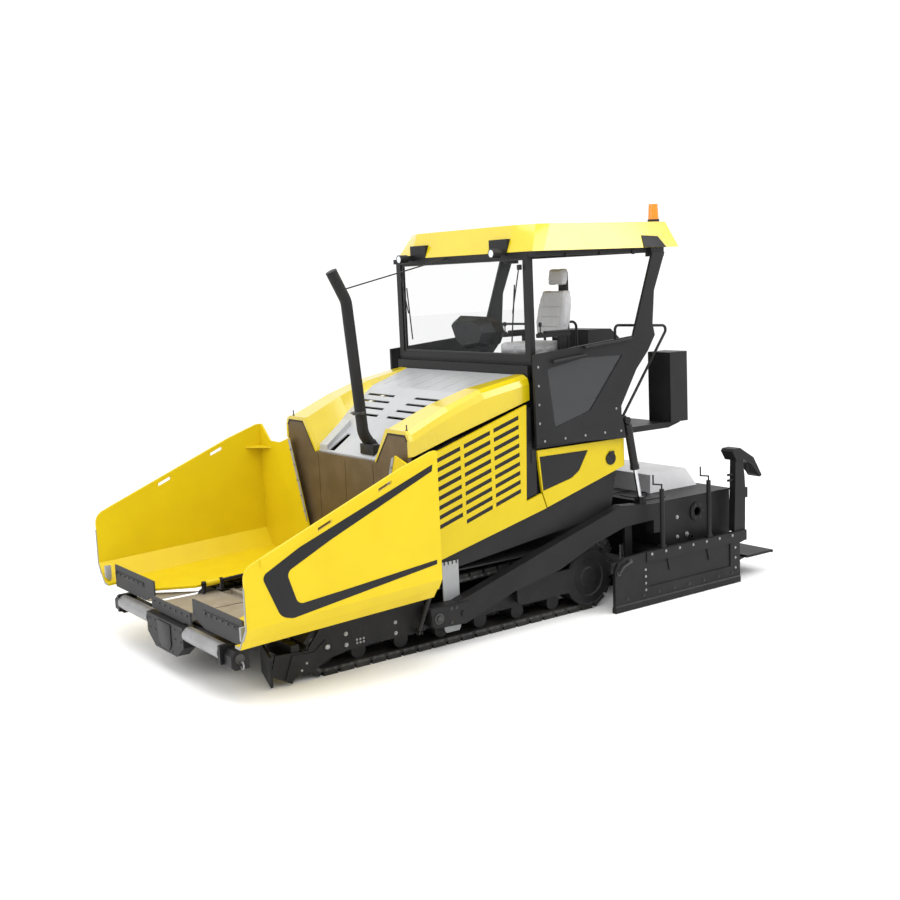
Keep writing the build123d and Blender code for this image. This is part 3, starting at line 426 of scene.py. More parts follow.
def place_group(tree, group, **values):
    """Puts a shader group into a material, with its own values."""
    node = tree.nodes.new("ShaderNodeGroup")
    node.node_tree = group
    for label, value in values.items():
        node.inputs[label].default_value = value
    return node


# name: colour, second colour, roughness, metallic, dust height, dust amount, grain scale, bump strength
FINISHES = {
    "yellow paint": ((0.56, 0.425, 0.003), (0.53, 0.395, 0.003), 0.30, 0.0, 0.9, 0.03, 900.0, 0.02),
    "roof paint": ((0.57, 0.44, 0.004), (0.54, 0.41, 0.004), 0.22, 0.0, 0.9, 0.02, 900.0, 0.01),
    # the wings: the yellow paint made lighter than on the doors, painted light against the shade inside the
    # hopper
    "lightened yellow": ((0.64, 0.475, 0.005), (0.60, 0.44, 0.004), 0.36, 0.0, 1.2, 0.04, 500.0, 0.03),
    "dark paint": ((0.010, 0.010, 0.011), (0.015, 0.015, 0.016), 0.40, 0.0, 1.2, 0.04, 700.0, 0.05),
    "dark frame": ((0.006, 0.006, 0.007), (0.011, 0.011, 0.012), 0.44, 0.0, 0.8, 0.05, 500.0, 0.08),
    "brown wall": ((0.085, 0.053, 0.020), (0.062, 0.039, 0.016), 0.42, 0.1, 2.0, 0.03, 120.0, 0.05),
    "silver deck": ((0.46, 0.47, 0.48), (0.40, 0.41, 0.42), 0.34, 0.35, 2.4, 0.04, 900.0, 0.03),
    "worn steel": ((0.24, 0.24, 0.245), (0.18, 0.18, 0.185), 0.38, 0.6, 0.6, 0.10, 300.0, 0.06),
    "conveyor plate": ((0.30, 0.26, 0.20), (0.20, 0.175, 0.14), 0.44, 0.35, 0.9, 0.08, 160.0, 0.08),
    "track steel": ((0.005, 0.005, 0.005), (0.013, 0.013, 0.012), 0.50, 0.0, 0.5, 0.14, 180.0, 0.18),
    "rubber": ((0.009, 0.009, 0.009), (0.014, 0.014, 0.014), 0.68, 0.0, 0.9, 0.10, 260.0, 0.12),
    "hydraulic barrel": ((0.010, 0.010, 0.011), (0.015, 0.015, 0.015), 0.28, 0.0, 1.2, 0.05, 900.0, 0.02),
    "chromed rod": ((0.62, 0.63, 0.65), (0.52, 0.53, 0.55), 0.10, 1.0, 1.0, 0.03, 900.0, 0.01),
    "dark plastic": ((0.012, 0.012, 0.013), (0.018, 0.018, 0.019), 0.48, 0.0, 1.5, 0.04, 1200.0, 0.10),
    # black for the wing bands, the panel field and the strips over joints, and for the sheets of painted
    # shade in slots and openings
    "black band and painted shade": ((0.010, 0.010, 0.011), (0.013, 0.013, 0.014), 0.40, 0.0, 1.2, 0.02, 1200.0, 0.02),
    "grey plate": ((0.30, 0.31, 0.32), (0.25, 0.26, 0.27), 0.46, 0.2, 0.8, 0.08, 500.0, 0.05),
    "bolt steel": ((0.30, 0.30, 0.31), (0.22, 0.22, 0.22), 0.34, 0.6, 0.8, 0.06, 700.0, 0.04),
    "dark bolt": ((0.030, 0.030, 0.031), (0.050, 0.050, 0.051), 0.30, 0.4, 0.8, 0.06, 700.0, 0.04),
    "track pin": ((0.090, 0.090, 0.092), (0.050, 0.050, 0.052), 0.34, 0.5, 0.6, 0.10, 700.0, 0.05),
    "seat cover": ((0.42, 0.42, 0.43), (0.35, 0.35, 0.36), 0.46, 0.0, 2.0, 0.02, 420.0, 0.30),
    "dark screen": ((0.006, 0.007, 0.009), (0.010, 0.011, 0.013), 0.12, 0.0, 2.0, 0.03, 900.0, 0.01),
    "light cover": ((0.60, 0.60, 0.61), (0.53, 0.53, 0.54), 0.44, 0.1, 1.0, 0.05, 600.0, 0.04),
    "red knob": ((0.50, 0.02, 0.01), (0.40, 0.02, 0.01), 0.30, 0.0, 2.0, 0.02, 900.0, 0.02),
}

# which finish each CAD node has
NODE_FINISH = {
    "yellow paint": ["side_door_left", "side_door_right", "rear_side_panels"],
    "roof paint": ["hood_pods", "roof"],
    "lightened yellow": ["wing_left", "wing_right"],
    "dark paint": ["platform", "platform_sides", "rear_box", "roof_frame", "work_lights", "exhaust_stack",
                   "bay_walls", "seat_base", "handrails"],
    "dark plastic": ["console"],
    "dark frame": ["main_frame", "track_frames", "track_guards", "drive_covers", "wing_hinges", "tow_arms",
                   "screed_frame", "screed_extension_left", "screed_extension_right", "screed_console_left",
                   "screed_console_right", "auger_support", "engine_block", "push_beam"],
    "brown wall": ["bulkhead"],
    "silver deck": ["hood_deck"],
    "worn steel": ["push_roller_left", "push_roller_right", "auger_left", "auger_right"],
    "conveyor plate": ["conveyors", "hopper_floor_plates"],
    "track steel": ["tracks"],
    "rubber": ["wing_flap_left", "wing_flap_right", "front_apron"],
    "grey plate": ["scale_plates"],
    "light cover": ["screed_cover"],
    "hydraulic barrel": ["lift_barrel_left", "lift_barrel_right", "wing_barrel_left", "wing_barrel_right"],
    "chromed rod": ["lift_rod_left", "lift_rod_right", "wing_rod_left", "wing_rod_right"],
    "seat cover": ["seat_cushion", "seat_back"],
    "window glass": ["cab_glass"],
    "amber lens": ["beacon"],
}
DUST = (0.19, 0.175, 0.15)
# the finishes that sliding mix has rubbed lighter in patches
RUBBED = ("conveyor plate", "worn steel", "brown wall", "bolt steel", "track steel")
# how much a finish mirrors where it isn't the usual 0.5, and the colour under which a finish counts as dark
YELLOW_SHEEN = {"yellow paint": 0.28, "lightened yellow": 0.28}
DARK_SHEEN = 0.22
DARK_BELOW = 0.03
GRAIN_HEIGHT = 0.002


def new_material(name):
    """A material with its node tree and its shader."""
    material = bpy.data.materials.new(name)
    material.use_nodes = True
    return material.node_tree, material.node_tree.nodes["Principled BSDF"]


def make_finish(name, groups):
    """A coat, a metal, rubber or cloth: two near colours in clouds, dust, wear and a fine grain."""
    colour, second, roughness, metallic, dust_height, dust, grain, bump = FINISHES[name]
    tree, shader = new_material(name)
    clouds = ramp(tree, noise(tree, object_place(tree), 2.5, 5.0), 0.35, 0.7)
    base = mix_colours(tree, clouds, colour, second)
    settled = place_group(tree, groups["dust"], Height=dust_height, Amount=dust).outputs["Mask"]
    if name in RUBBED:
        rubbed = place_group(tree, groups["scuffs"], Amount=0.45).outputs["Mask"]
        base = mix_colours(tree, rubbed, base, tuple(min(1.0, part * 1.6 + 0.02) for part in colour))
    base = mix_colours(tree, settled, base, DUST)
    tree.links.new(base, shader.inputs["Base Color"])
    rough = plus(tree, times(tree, clouds, 0.08), roughness)
    rough = plus(tree, rough, times(tree, settled, 0.5))
    tree.links.new(rough, shader.inputs["Roughness"])
    shader.inputs["Metallic"].default_value = metallic
    if name == "roof paint":
        shader.inputs["Coat Weight"].default_value = 0.7
        shader.inputs["Coat Roughness"].default_value = 0.12
    if name in YELLOW_SHEEN:
        shader.inputs["Specular IOR Level"].default_value = YELLOW_SHEEN[name]
    if max(colour) < DARK_BELOW:
        shader.inputs["Specular IOR Level"].default_value = DARK_SHEEN
    height = place_group(tree, groups["grain"], Scale=grain).outputs["Height"]
    relief = tree.nodes.new("ShaderNodeBump")
    relief.inputs["Strength"].default_value = bump
    relief.inputs["Distance"].default_value = GRAIN_HEIGHT
    tree.links.new(height, relief.inputs["Height"])
    tree.links.new(relief.outputs["Normal"], shader.inputs["Normal"])


def make_clear(name, colour, roughness, transmission, alpha, groups):
    """Glass and lenses, a little browner where dust has settled."""
    tree, shader = new_material(name)
    settled = place_group(tree, groups["dust"], Height=3.0, Amount=0.04).outputs["Mask"]
    tree.links.new(mix_colours(tree, settled, colour, DUST), shader.inputs["Base Color"])
    shader.inputs["Roughness"].default_value = roughness
    shader.inputs["Transmission Weight"].default_value = transmission
    shader.inputs["Alpha"].default_value = alpha


class PaverStudio(bpy.types.PropertyGroup):
    band_thickness: bpy.props.FloatProperty(
        name="Band", description="Thickness of the dark bands on the wings", default=0.0025, min=0.001,
        unit="LENGTH")
    bolt_size: bpy.props.FloatProperty(
        name="Bolt", description="Half width of a usual bolt head", default=0.010, min=0.004, unit="LENGTH")
    puff: bpy.props.FloatProperty(
        name="Puff", description="How far the seat's padding may swell", default=0.014, min=0.0,
        unit="LENGTH")
    key_power: bpy.props.FloatProperty(
        name="Key light", description="Power on which the lights depend", default=520.0, unit="POWER")
    sky: bpy.props.FloatProperty(
        name="Sky", description="Brightness of the surroundings", default=1.12, min=0.0)
    floor_colour: bpy.props.FloatVectorProperty(
        name="Floor", description="Colour of the studio floor", default=(0.93, 0.93, 0.93), subtype="COLOR")


class PAVER_OT_finishes(bpy.types.Operator):
    """Make the materials and give one to every part of the frame"""
    bl_idname = "paver.finishes"
    bl_label = "Finishes"

    def execute(self, context):
        groups = {"dust": dust_group(), "grain": grain_group(), "scuffs": scuff_group()}
        for name in FINISHES:
            make_finish(name, groups)
        make_clear("window glass", (0.06, 0.065, 0.07), 0.03, 0.0, 0.07, groups)
        # a nearly opaque dark sheet for the side window: painted shade for the dark cab behind it
        make_clear("window shade sheet", (0.030, 0.031, 0.033), 0.22, 0.0, 0.90, groups)
        make_clear("amber lens", (0.95, 0.27, 0.01), 0.15, 0.3, 1.0, groups)
        make_clear("lamp lens", (0.80, 0.84, 0.88), 0.06, 0.2, 1.0, groups)
        for finish, nodes in NODE_FINISH.items():
            for node in nodes:
                mesh = NODES[node].data
                mesh.materials.clear()
                mesh.materials.append(bpy.data.materials[finish])
        return {"FINISHED"}


# ---------------------------------------------------------------- hopper
WING_FACE = 1.644       # the wing's outer side
WALL_FACE = 1.401       # the front side of the wing's rear wall
WING_FRONT = 3.2705     # the front edge of the wing
FLAP_FRONT = 3.1925     # the front side of the flap
STRIP = 0.006           # a wear strip's thickness
# the dark band on the outer side of a wing: from the rear along its upper edge, round the front, and back
BAND = [(1.433, 1.819), (2.76, 1.313), (3.115, 1.131), (2.964, 0.772), (2.857, 0.743), (1.430, 0.943),
        (1.428, 0.981), (2.314, 0.892), (2.803, 0.847), (2.893, 1.126), (2.475, 1.325), (1.442, 1.762)]
BAND_CORNERS = {1: 0.02, 2: 0.05, 3: 0.05, 4: 0.02, 7: 0.02, 8: 0.05, 9: 0.05, 10: 0.02}


class PAVER_OT_wing_bands(bpy.types.Operator):
    """Lay the dark band on the outer side of each wing"""
    bl_idname = "paver.wing_bands"
    bl_label = "Wing bands"

    def execute(self, context):
        thick = context.scene.paver_studio.band_thickness
        band = plate(BAND, "xz", WING_FACE, thick, rounded=BAND_CORNERS)
        settle_pair(band, "wing_band", "wing_", "black band and painted shade")
        return {"FINISHED"}


class PAVER_OT_wing_strips(bpy.types.Operator):
    """Bolt the grey wear strips to the rear walls, front edges and flaps of the wings"""
    bl_idname = "paver.wing_strips"
    bl_label = "Wing strips"

    def execute(self, context):
        size = context.scene.paver_studio.bolt_size
        strip = plate([(1.000, 1.822), (0.955, 1.800), (0.700, 1.070), (0.700, 0.990)], "yz", WALL_FACE,
                      STRIP, edge=0.001)
        settle_pair(strip, "wing_wall_strip", "wing_", "grey plate")
        bolts = [(WALL_FACE + STRIP, 0.726 + 0.055 * step, 1.10 + 0.155 * step, "+x") for step in range(5)]
        settle_bolts(size, bolts, "wing_wall_bolts", "wing_")
        edge = plate([(1.641, 1.060), (1.624, 1.060), (1.624, 0.728), (1.562, 0.632), (1.495, 0.552),
                      (1.420, 0.552), (1.420, 0.533), (1.499, 0.533), (1.562, 0.618), (1.582, 0.622),
                      (1.641, 0.716)], "yz", WING_FRONT, 0.007, edge=0.0015)
        settle_pair(edge, "wing_front_edge", "wing_", "grey plate")
        strip = plate(rectangle(0.660, 0.680, 1.380, 0.640), "yz", FLAP_FRONT, STRIP, edge=0.001)
        settle_pair(strip, "flap_strip", "wing_", "dark paint")
        bolts = [(FLAP_FRONT + STRIP, 0.70 + 0.11 * step, 0.660, "+x") for step in range(7)]
        settle_bolts(size * 0.9, bolts, "flap_bolts", "wing_", "dark bolt")
        guard = plate([(3.262, 0.715), (3.262, 0.600), (3.215, 0.560), (3.202, 0.600), (3.202, 0.715)], "xz",
                      1.480, 0.030, edge=0.003)
        settle_pair(guard, "wing_corner_guard", "wing_", "grey plate")
        return {"FINISHED"}


BEAM_X = 3.230
BEAM_FACE = BEAM_X + 0.060
BEAM_BOLT = 0.007       # small, so that it stays behind the rollers' front


class PAVER_OT_front_parts(bpy.types.Operator):
    """Add the bolts, rings and caps of the apron and the push beam"""
    bl_idname = "paver.front_parts"
    bl_label = "Front parts"

    def execute(self, context):
        size = context.scene.paver_studio.bolt_size
        apron_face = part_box("front_apron")[1][0]
        bolts = [(apron_face, -0.36 + 0.12 * step, 0.575, "+x") for step in range(7)]
        settle(repeated(bolt(size), bolts), "apron_bolts", "chassis", "dark bolt")
        corner = plate([(3.160, 0.646), (3.160, 1.040), (2.640, 0.646)], "xy", 0.497, 0.006, edge=0.001)
        settle_pair(corner, "hopper_corner_plate", "chassis", "conveyor plate")
        beam_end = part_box("push_beam")[1][1]
        bolts = [(BEAM_FACE, y, z, "+x") for y in (-0.34, -0.22, 0.22, 0.34) for z in (0.345, 0.435)]
        bolts += [(BEAM_FACE, y, 0.215, "+x") for y in (-0.14, 0.14)]
        settle(repeated(bolt(BEAM_BOLT), bolts), "beam_bolts", "push_beam", "dark bolt")
        cover = plate([(-0.14, 0.46), (0.14, 0.46), (0.14, 0.27), (0.09, 0.22), (-0.09, 0.22), (-0.14, 0.27)],
                      "yz", BEAM_FACE, 0.008, edge=0.002)
        settle(cover, "beam_cover", "push_beam", "dark paint")
        cap = disc((BEAM_X - 0.045, beam_end, 0.395), "+y", 0.044, 0.010, edge=0.002, dish=0.004)
        settle_pair(cap, "beam_end_cap", "push_beam", "dark bolt")
        hook = ring((BEAM_X - 0.055, beam_end + 0.020, 0.340), "+x", 0.030, 0.007)
        settle_pair(hook, "beam_hook_ring", "push_beam", "bolt steel")
        return {"FINISHED"}


# ---------------------------------------------------------------- sides
SKIRT_Y = 1.125         # outer side of the plates over the tracks
TRACK_Y = 1.1035        # outer side of the links
PANEL_Y = 1.190         # outer side of the yellow panels
SHADE_SHEETS_Y = 1.184       # the dark sheets in the doors' slots, painted shade in the openings
TOW_ARM_Y = 1.290       # outer side of the tow arms
PLATFORM_Y = 1.250      # outer side of the platform's sides
# x, z and half width of the bolt heads on the plates over the tracks
SKIRT_BOLTS = [(2.080, 0.340, 0.013), (2.080, 0.240, 0.013), (2.280, 0.269, 0.026), (2.487, 0.166, 0.012),
               (2.538, 0.111, 0.012), (1.560, 0.340, 0.012), (1.560, 0.240, 0.012)]


class PAVER_OT_skirt_parts(bpy.types.Operator):
    """Add the bolts of the plates over the tracks, and black sheets in their slots as painted shade"""
    bl_idname = "paver.skirt_parts"
    bl_label = "Skirt parts"

    def execute(self, context):
        for number, (x, z, radius) in enumerate(SKIRT_BOLTS):
            settle_bolts(radius, [(x, SKIRT_Y, z, "+y")], f"skirt_bolt_{number + 1}", "chassis")
        # black sheets where the slots are: painted shade in the openings
        slot_shades = [plate(rectangle(x - 0.012, 0.366, x + 0.012, 0.294), "xz", SKIRT_Y, 0.0015,
                       rounded=dict.fromkeys(range(4), 0.011)) for x in (1.87, 1.935, 2.0)]
        settle_pair(joined(slot_shades), "skirt_slot_shade", "chassis", "black band and painted shade")
        dots = [(x, SKIRT_Y, z, "+y") for x in (1.90, 1.935, 1.97) for z in (0.235, 0.265)]
        settle_bolts(0.007, dots, "skirt_small_bolts", "chassis")
        return {"FINISHED"}


def round_places(a, b, radius, angles):
    """Places on a circle, at some angles in degrees."""
    turns = [math.radians(angle) for angle in angles]
    return [(a + radius * math.cos(turn), b + radius * math.sin(turn)) for turn in turns]


# the line along the middle of the track's links: straight runs and the arcs round the wheels (x, z, radius)
LINK_DEPTH = 0.0525
LINK_WHEELS = ((2.280, 0.230, 0.230), (0.880, 0.520, 0.110), (-0.770, 0.340, 0.340))
DRIVE_COVER_REACH = 0.300   # the drive cover hides the links nearer than this to the rear wheel's middle
SHOES = 46


def link_line():
    """Points a few millimetres apart along the middle of the links, once round the loop."""
    points = []
    for x, z, radius in LINK_WHEELS:
        points += round_places(x, z, radius - LINK_DEPTH, range(-90, 270, 3))
    hull = []
    for point in sorted(points) + sorted(points, reverse=True):
        while len(hull) > 1 and ((hull[-1][0] - hull[-2][0]) * (point[1] - hull[-2][1])
                                 - (hull[-1][1] - hull[-2][1]) * (point[0] - hull[-2][0])) <= 0:
            hull.pop()
        hull.append(point)
    return hull


def walked(line, steps):
    """Places at equal distances round a closed line, each with its direction."""
    legs = [(a, b, math.dist(a, b)) for a, b in zip(line, line[1:] + line[:1]) if math.dist(a, b) > 1e-6]
    total = sum(leg[2] for leg in legs)
    places, done, number = [], 0.0, 0
    for a, b, length in legs:
        while number < steps and number * total / steps <= done + length:
            share = (number * total / steps - done) / length
            places.append((a[0] + (b[0] - a[0]) * share, a[1] + (b[1] - a[1]) * share,
                           math.atan2(b[1] - a[1], b[0] - a[0])))
            number += 1
        done += length
    return places


class PAVER_OT_track_links(bpy.types.Operator):
    """Lay the link plates and pins along the outer side of each track"""
    bl_idname = "paver.track_links"
    bl_label = "Track links"

    def execute(self, context):
        link = plate([(-0.066, 0.010), (-0.040, 0.015), (-0.014, 0.009), (0.014, 0.009), (0.040, 0.015),
                      (0.066, 0.010), (0.066, -0.010), (0.040, -0.015), (0.014, -0.009), (-0.014, -0.009),
                      (-0.040, -0.015), (-0.066, -0.010)], "xz", 0.0, 0.004, edge=0.0012)
        pin = disc((0.0, 0.0, 0.0), "+y", 0.0085, 0.0055, edge=0.0012, sides=12)
        links, pins = [], []
        for x, z, way in walked(link_line(), SHOES):
            if math.dist((x, z), LINK_WHEELS[-1][:2]) < DRIVE_COVER_REACH:
                continue
            for piece, made, shifts in ((link, links, (0.0,)), (pin, pins, (-0.040, 0.040))):
                for shift in shifts:
                    copy = duplicate(piece)
                    copy.matrix_world = (Matrix.Translation((x, TRACK_Y, z)) @ Matrix.Rotation(-way, 4, "Y")
                                         @ Matrix.Translation((shift, 0.0, 0.0)))
                    place_now(copy)
                    made.append(copy)
        bpy.data.objects.remove(link)
        bpy.data.objects.remove(pin)
        settle_pair(joined(links), "track_link_plates", "chassis", "dark bolt")
        settle_pair(joined(pins), "track_link_pins", "chassis", "track pin")
        return {"FINISHED"}


# the louvred slots of the side doors: both ends of each column, and the lines along their top and bottom
SLOT_COLUMNS = ((1.110, 0.800), (0.760, 0.450), (0.410, 0.105))
SLOT_TOP = ((1.130, 1.790), (0.060, 2.120))
SLOT_LOW = ((1.000, 1.070), (0.090, 1.260))
SLOT_PITCH = 0.088
SLOT_HEIGHT = 0.044
SLOT_ROWS = 11          # the most that a column has


def height_at(x, line):
    """The height of a line between two points (x, z) at some x."""
    (x0, z0), (x1, z1) = line
    return z0 + (z1 - z0) * (x - x0) / (x1 - x0)


class PAVER_OT_louvres(bpy.types.Operator):
    """Fit dark sheets into the louvred slots of the side doors, as painted shade in the openings"""
    bl_idname = "paver.louvres"
    bl_label = "Louvre shade sheets"

    def execute(self, context):
        for side, name in SIDES:
            shade_sheets = []
            for front, rear in SLOT_COLUMNS:
                for row in range(SLOT_ROWS):
                    top = height_at(front, SLOT_TOP) - 0.030 - row * SLOT_PITCH
                    rise = height_at(rear, SLOT_TOP) - height_at(front, SLOT_TOP)
                    if top + rise / 2 - SLOT_HEIGHT <= height_at((front + rear) / 2, SLOT_LOW):
                        continue
                    outline = [(front, top), (rear, top + rise), (rear, top + rise - SLOT_HEIGHT),
                               (front, top - SLOT_HEIGHT)]
                    # each slot gets a black sheet: painted shade where the opening is dark
                    shade_sheets.append(plate(outline, "xz", side * SHADE_SHEETS_Y, side * 0.0015))
            settle(joined(shade_sheets), f"louvre_shade_sheets_{name}", f"side_door_{name}", "black band and painted shade")
        return {"FINISHED"}


class PAVER_OT_side_parts(bpy.types.Operator):
    """Add the latches, caps and bolts of the side panels and tow arms"""
    bl_idname = "paver.side_parts"
    bl_label = "Side parts"

    def execute(self, context):
        size = context.scene.paver_studio.bolt_size
        cap = disc((-1.060, PANEL_Y, 1.525), "+y", 0.065, 0.012, edge=0.003, dish=0.005)
        settle_pair(cap, "panel_cap", "chassis", "dark plastic")
        tab = block((-1.105, PANEL_Y + 0.001, 1.556), (-1.035, PANEL_Y + 0.016, 1.598), 0.004)
        settle_pair(tab, "panel_cap_tab", "chassis", "dark plastic")
        field = plate([(-0.140, 1.650), (-0.760, 1.645), (-0.636, 1.453), (-0.538, 1.394), (-0.174, 1.315)],
                      "xz", PANEL_Y - 0.0038, 0.0022, rounded={1: 0.012, 2: 0.02, 3: 0.02})
        settle_pair(field, "panel_dark_field", "chassis", "black band and painted shade")
        latch = block((-0.078, 1.176, 1.60), (-0.040, 1.186, 1.73), 0.004)
        settle_pair(latch, "door_latch", "chassis", "dark plastic")
        pin = joined([disc((1.190, TOW_ARM_Y, 0.330), "+y", 0.052, 0.008, edge=0.002),
                      disc((1.190, TOW_ARM_Y + 0.008, 0.330), "+y", 0.030, 0.010, edge=0.003, sides=6)])
        settle_pair(pin, "tow_pin_cap", "screed", "dark bolt")
        bolts = [(x, TOW_ARM_Y, z, "+y") for x, z in ((1.05, 0.40), (1.05, 0.27), (0.99, 0.40))]
        settle_bolts(size, bolts, "tow_arm_bolts", "screed", "dark bolt")
        spots = [(-1.16, 1.80), (-1.10, 2.03)]
        spots += [(x, 1.805) for x in (-0.16, -0.42, -0.68, -0.94)]
        spots += [(-0.105, z) for z in (1.98, 2.16, 2.34, 2.52)]
        bolts = [(x, PLATFORM_Y, z, "+y") for x, z in spots]
        settle_bolts(size * 0.8, bolts, "platform_side_bolts", "chassis")
        return {"FINISHED"}


# ---------------------------------------------------------------- platform, screen and roof
SCREEN_X = -0.146       # rear side of the seal round the windscreen
PANE_IN = 1.232         # inner and outer side of the side window's pane
PANE_OUT = 1.238
SIDE_WINDOW = [(-0.220, 2.490), (-0.690, 2.570), (-1.200, 2.560), (-0.750, 2.040), (-0.300, 1.920)]


class PAVER_OT_screen_parts(bpy.types.Operator):
    """Add the seals of the panes and the wipers"""
    bl_idname = "paver.screen_parts"
    bl_label = "Screen parts"

    def execute(self, context):
        seal = plate(rectangle(-1.052, 2.618, 1.052, 3.552), "yz", SCREEN_X, 0.006, edge=0.0015, border=0.022)
        settle(seal, "screen_seal", "chassis", "rubber")
        seal = plate(SIDE_WINDOW, "xz", PANE_IN, 0.006, edge=0.0015, border=0.020)
        settle_pair(seal, "side_window_seal", "chassis", "rubber")
        # a dark sheet over the side window's pane: painted shade for the dark view into the cab
        shade_sheet = plate(SIDE_WINDOW, "xz", PANE_OUT + 0.0005, 0.0012)
        settle_pair(shade_sheet, "side_window_shade_sheet", "chassis", "window shade sheet")
        blade = [tube([(-0.112, 0.86, 2.75), (-0.112, 0.93, 3.30)], 0.007),
                 tube([(-0.100, 0.90, 3.03), (-0.098, 1.02, 3.46)], 0.006),
                 block((-0.119, 1.000, 3.44), (-0.088, 1.045, 3.49), 0.005)]
        settle_pair(joined(blade), "wiper", "chassis", "dark plastic")
        return {"FINISHED"}


ROOF_EDGE_Z = 3.610     # foot of the roof's sloping side
ROOF_SLOPE = 0.4808     # how far that side leans in for each metre of height
LAMP_Y = 0.800
LAMP_Z = 3.605


def on_roof_side(piece):
    """Leans an upright plate against the sloping side of the roof."""
    for vertex in piece.data.vertices:
        vertex.co.y -= (vertex.co.z - ROOF_EDGE_Z) * ROOF_SLOPE


class PAVER_OT_roof_parts(bpy.types.Operator):
    """Add the brackets, lenses and beacon foot of the roof"""
    bl_idname = "paver.roof_parts"
    bl_label = "Roof parts"

    def execute(self, context):
        bracket = plate([(-1.542, 3.612), (-1.565, 3.733), (-1.787, 3.722), (-1.855, 3.612)], "xz",
                        1.2352, 0.008, edge=0.002)
        on_roof_side(bracket)
        settle_pair(bracket, "roof_bracket", "chassis", "dark paint")
        for side, name in SIDES:
            bezel = disc((0.053, side * LAMP_Y, LAMP_Z), "+x", 0.046, 0.010, edge=0.002, dish=0.006)
            settle(bezel, f"lamp_bezel_{name}", "chassis", "dark plastic")
            lens = disc((0.0575, side * LAMP_Y, LAMP_Z), "+x", 0.036, 0.004, edge=0.0015)
            settle(lens, f"lamp_lens_{name}", "chassis", "lamp lens")
        low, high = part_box("beacon")
        middle = ((low[0] + high[0]) / 2, (low[1] + high[1]) / 2)
        foot = disc((*middle, low[2] + 0.0005), "+z", 0.0600, 0.026, edge=0.004)
        settle(foot, "beacon_foot", "chassis", "dark plastic")
        return {"FINISHED"}


# ---------------------------------------------------------------- exhaust and hood
# the stack's straight part from its foot to its bend, its open end, and the way that this end faces
STACK_FOOT = Vector((1.305, 0.280, 2.050))
STACK_BEND = Vector((1.385, 0.280, 3.220))
STACK_END = Vector((1.530, 0.280, 3.500))
STACK_WAY = Vector((0.145, 0.0, 0.280)).normalized()
# dark strips over the joint between the brown wall and its yellow lip
WALL_FACE_X = 1.3302
WALL_STRIPS = ([(0.588, 1.720), (0.806, 2.007), (0.800, 2.014), (0.575, 1.720)],
               [(0.800, 2.014), (1.086, 2.014), (1.083, 1.998), (0.806, 1.998)],
               [(1.083, 2.011), (1.118, 1.962), (1.106, 1.954), (1.074, 2.000)])


class PAVER_OT_stack_parts(bpy.types.Operator):
    """Add the clamp and rim of the exhaust stack, and a black disc in its open end as painted shade"""
    bl_idname = "paver.stack_parts"
    bl_label = "Stack parts"

    def execute(self, context):
        way = (STACK_BEND - STACK_FOOT).normalized()
        clamp = disc(STACK_FOOT + way * 0.10, tuple(way), 0.062, 0.030, edge=0.003)
        settle(clamp, "stack_clamp", "chassis", "dark bolt")
        lug = block((1.300, 0.335, 2.150), (1.330, 0.375, 2.180), 0.004)
        settle(lug, "stack_clamp_lug", "chassis", "dark bolt")
        rim = ring(STACK_END - STACK_WAY * 0.004, tuple(STACK_WAY), 0.052, 0.005)
        settle(rim, "stack_rim", "chassis", "dark paint")
        foot_box = block((1.190, 0.200, 1.760), (1.272, 0.440, 1.862), 0.008)
        settle(foot_box, "stack_foot_box", "chassis", "dark paint")
        # a black disc just inside the open end: painted shade for the dark inside of the pipe
        mouth_shade = disc(STACK_END - STACK_WAY * 0.001, tuple(STACK_WAY), 0.048, 0.002, edge=0.0005)
        settle(mouth_shade, "stack_mouth_shade", "chassis", "black band and painted shade")
        stick = joined([tube([(1.290, 1.055, 2.045), (1.290, 1.055, 2.102)], 0.006),
                        disc((1.290, 1.055, 2.049), "+z", 0.014, 0.006, edge=0.0015)])
        settle_pair(stick, "pod_marker_pin", "chassis", "dark bolt")
        for number, outline in enumerate(WALL_STRIPS):
            strip = plate(outline, "yz", WALL_FACE_X, 0.004)
            settle_pair(strip, f"wall_strip_{number + 1}", "chassis", "black band and painted shade")
        return {"FINISHED"}


# ---------------------------------------------------------------- console
CONSOLE_X = -0.430      # the side of the console that the driver sees
LEVER_X = -0.335
SEAT_Y = 0.750
ARM_REACH = 0.275       # from the seat's middle to the middle of an arm rest


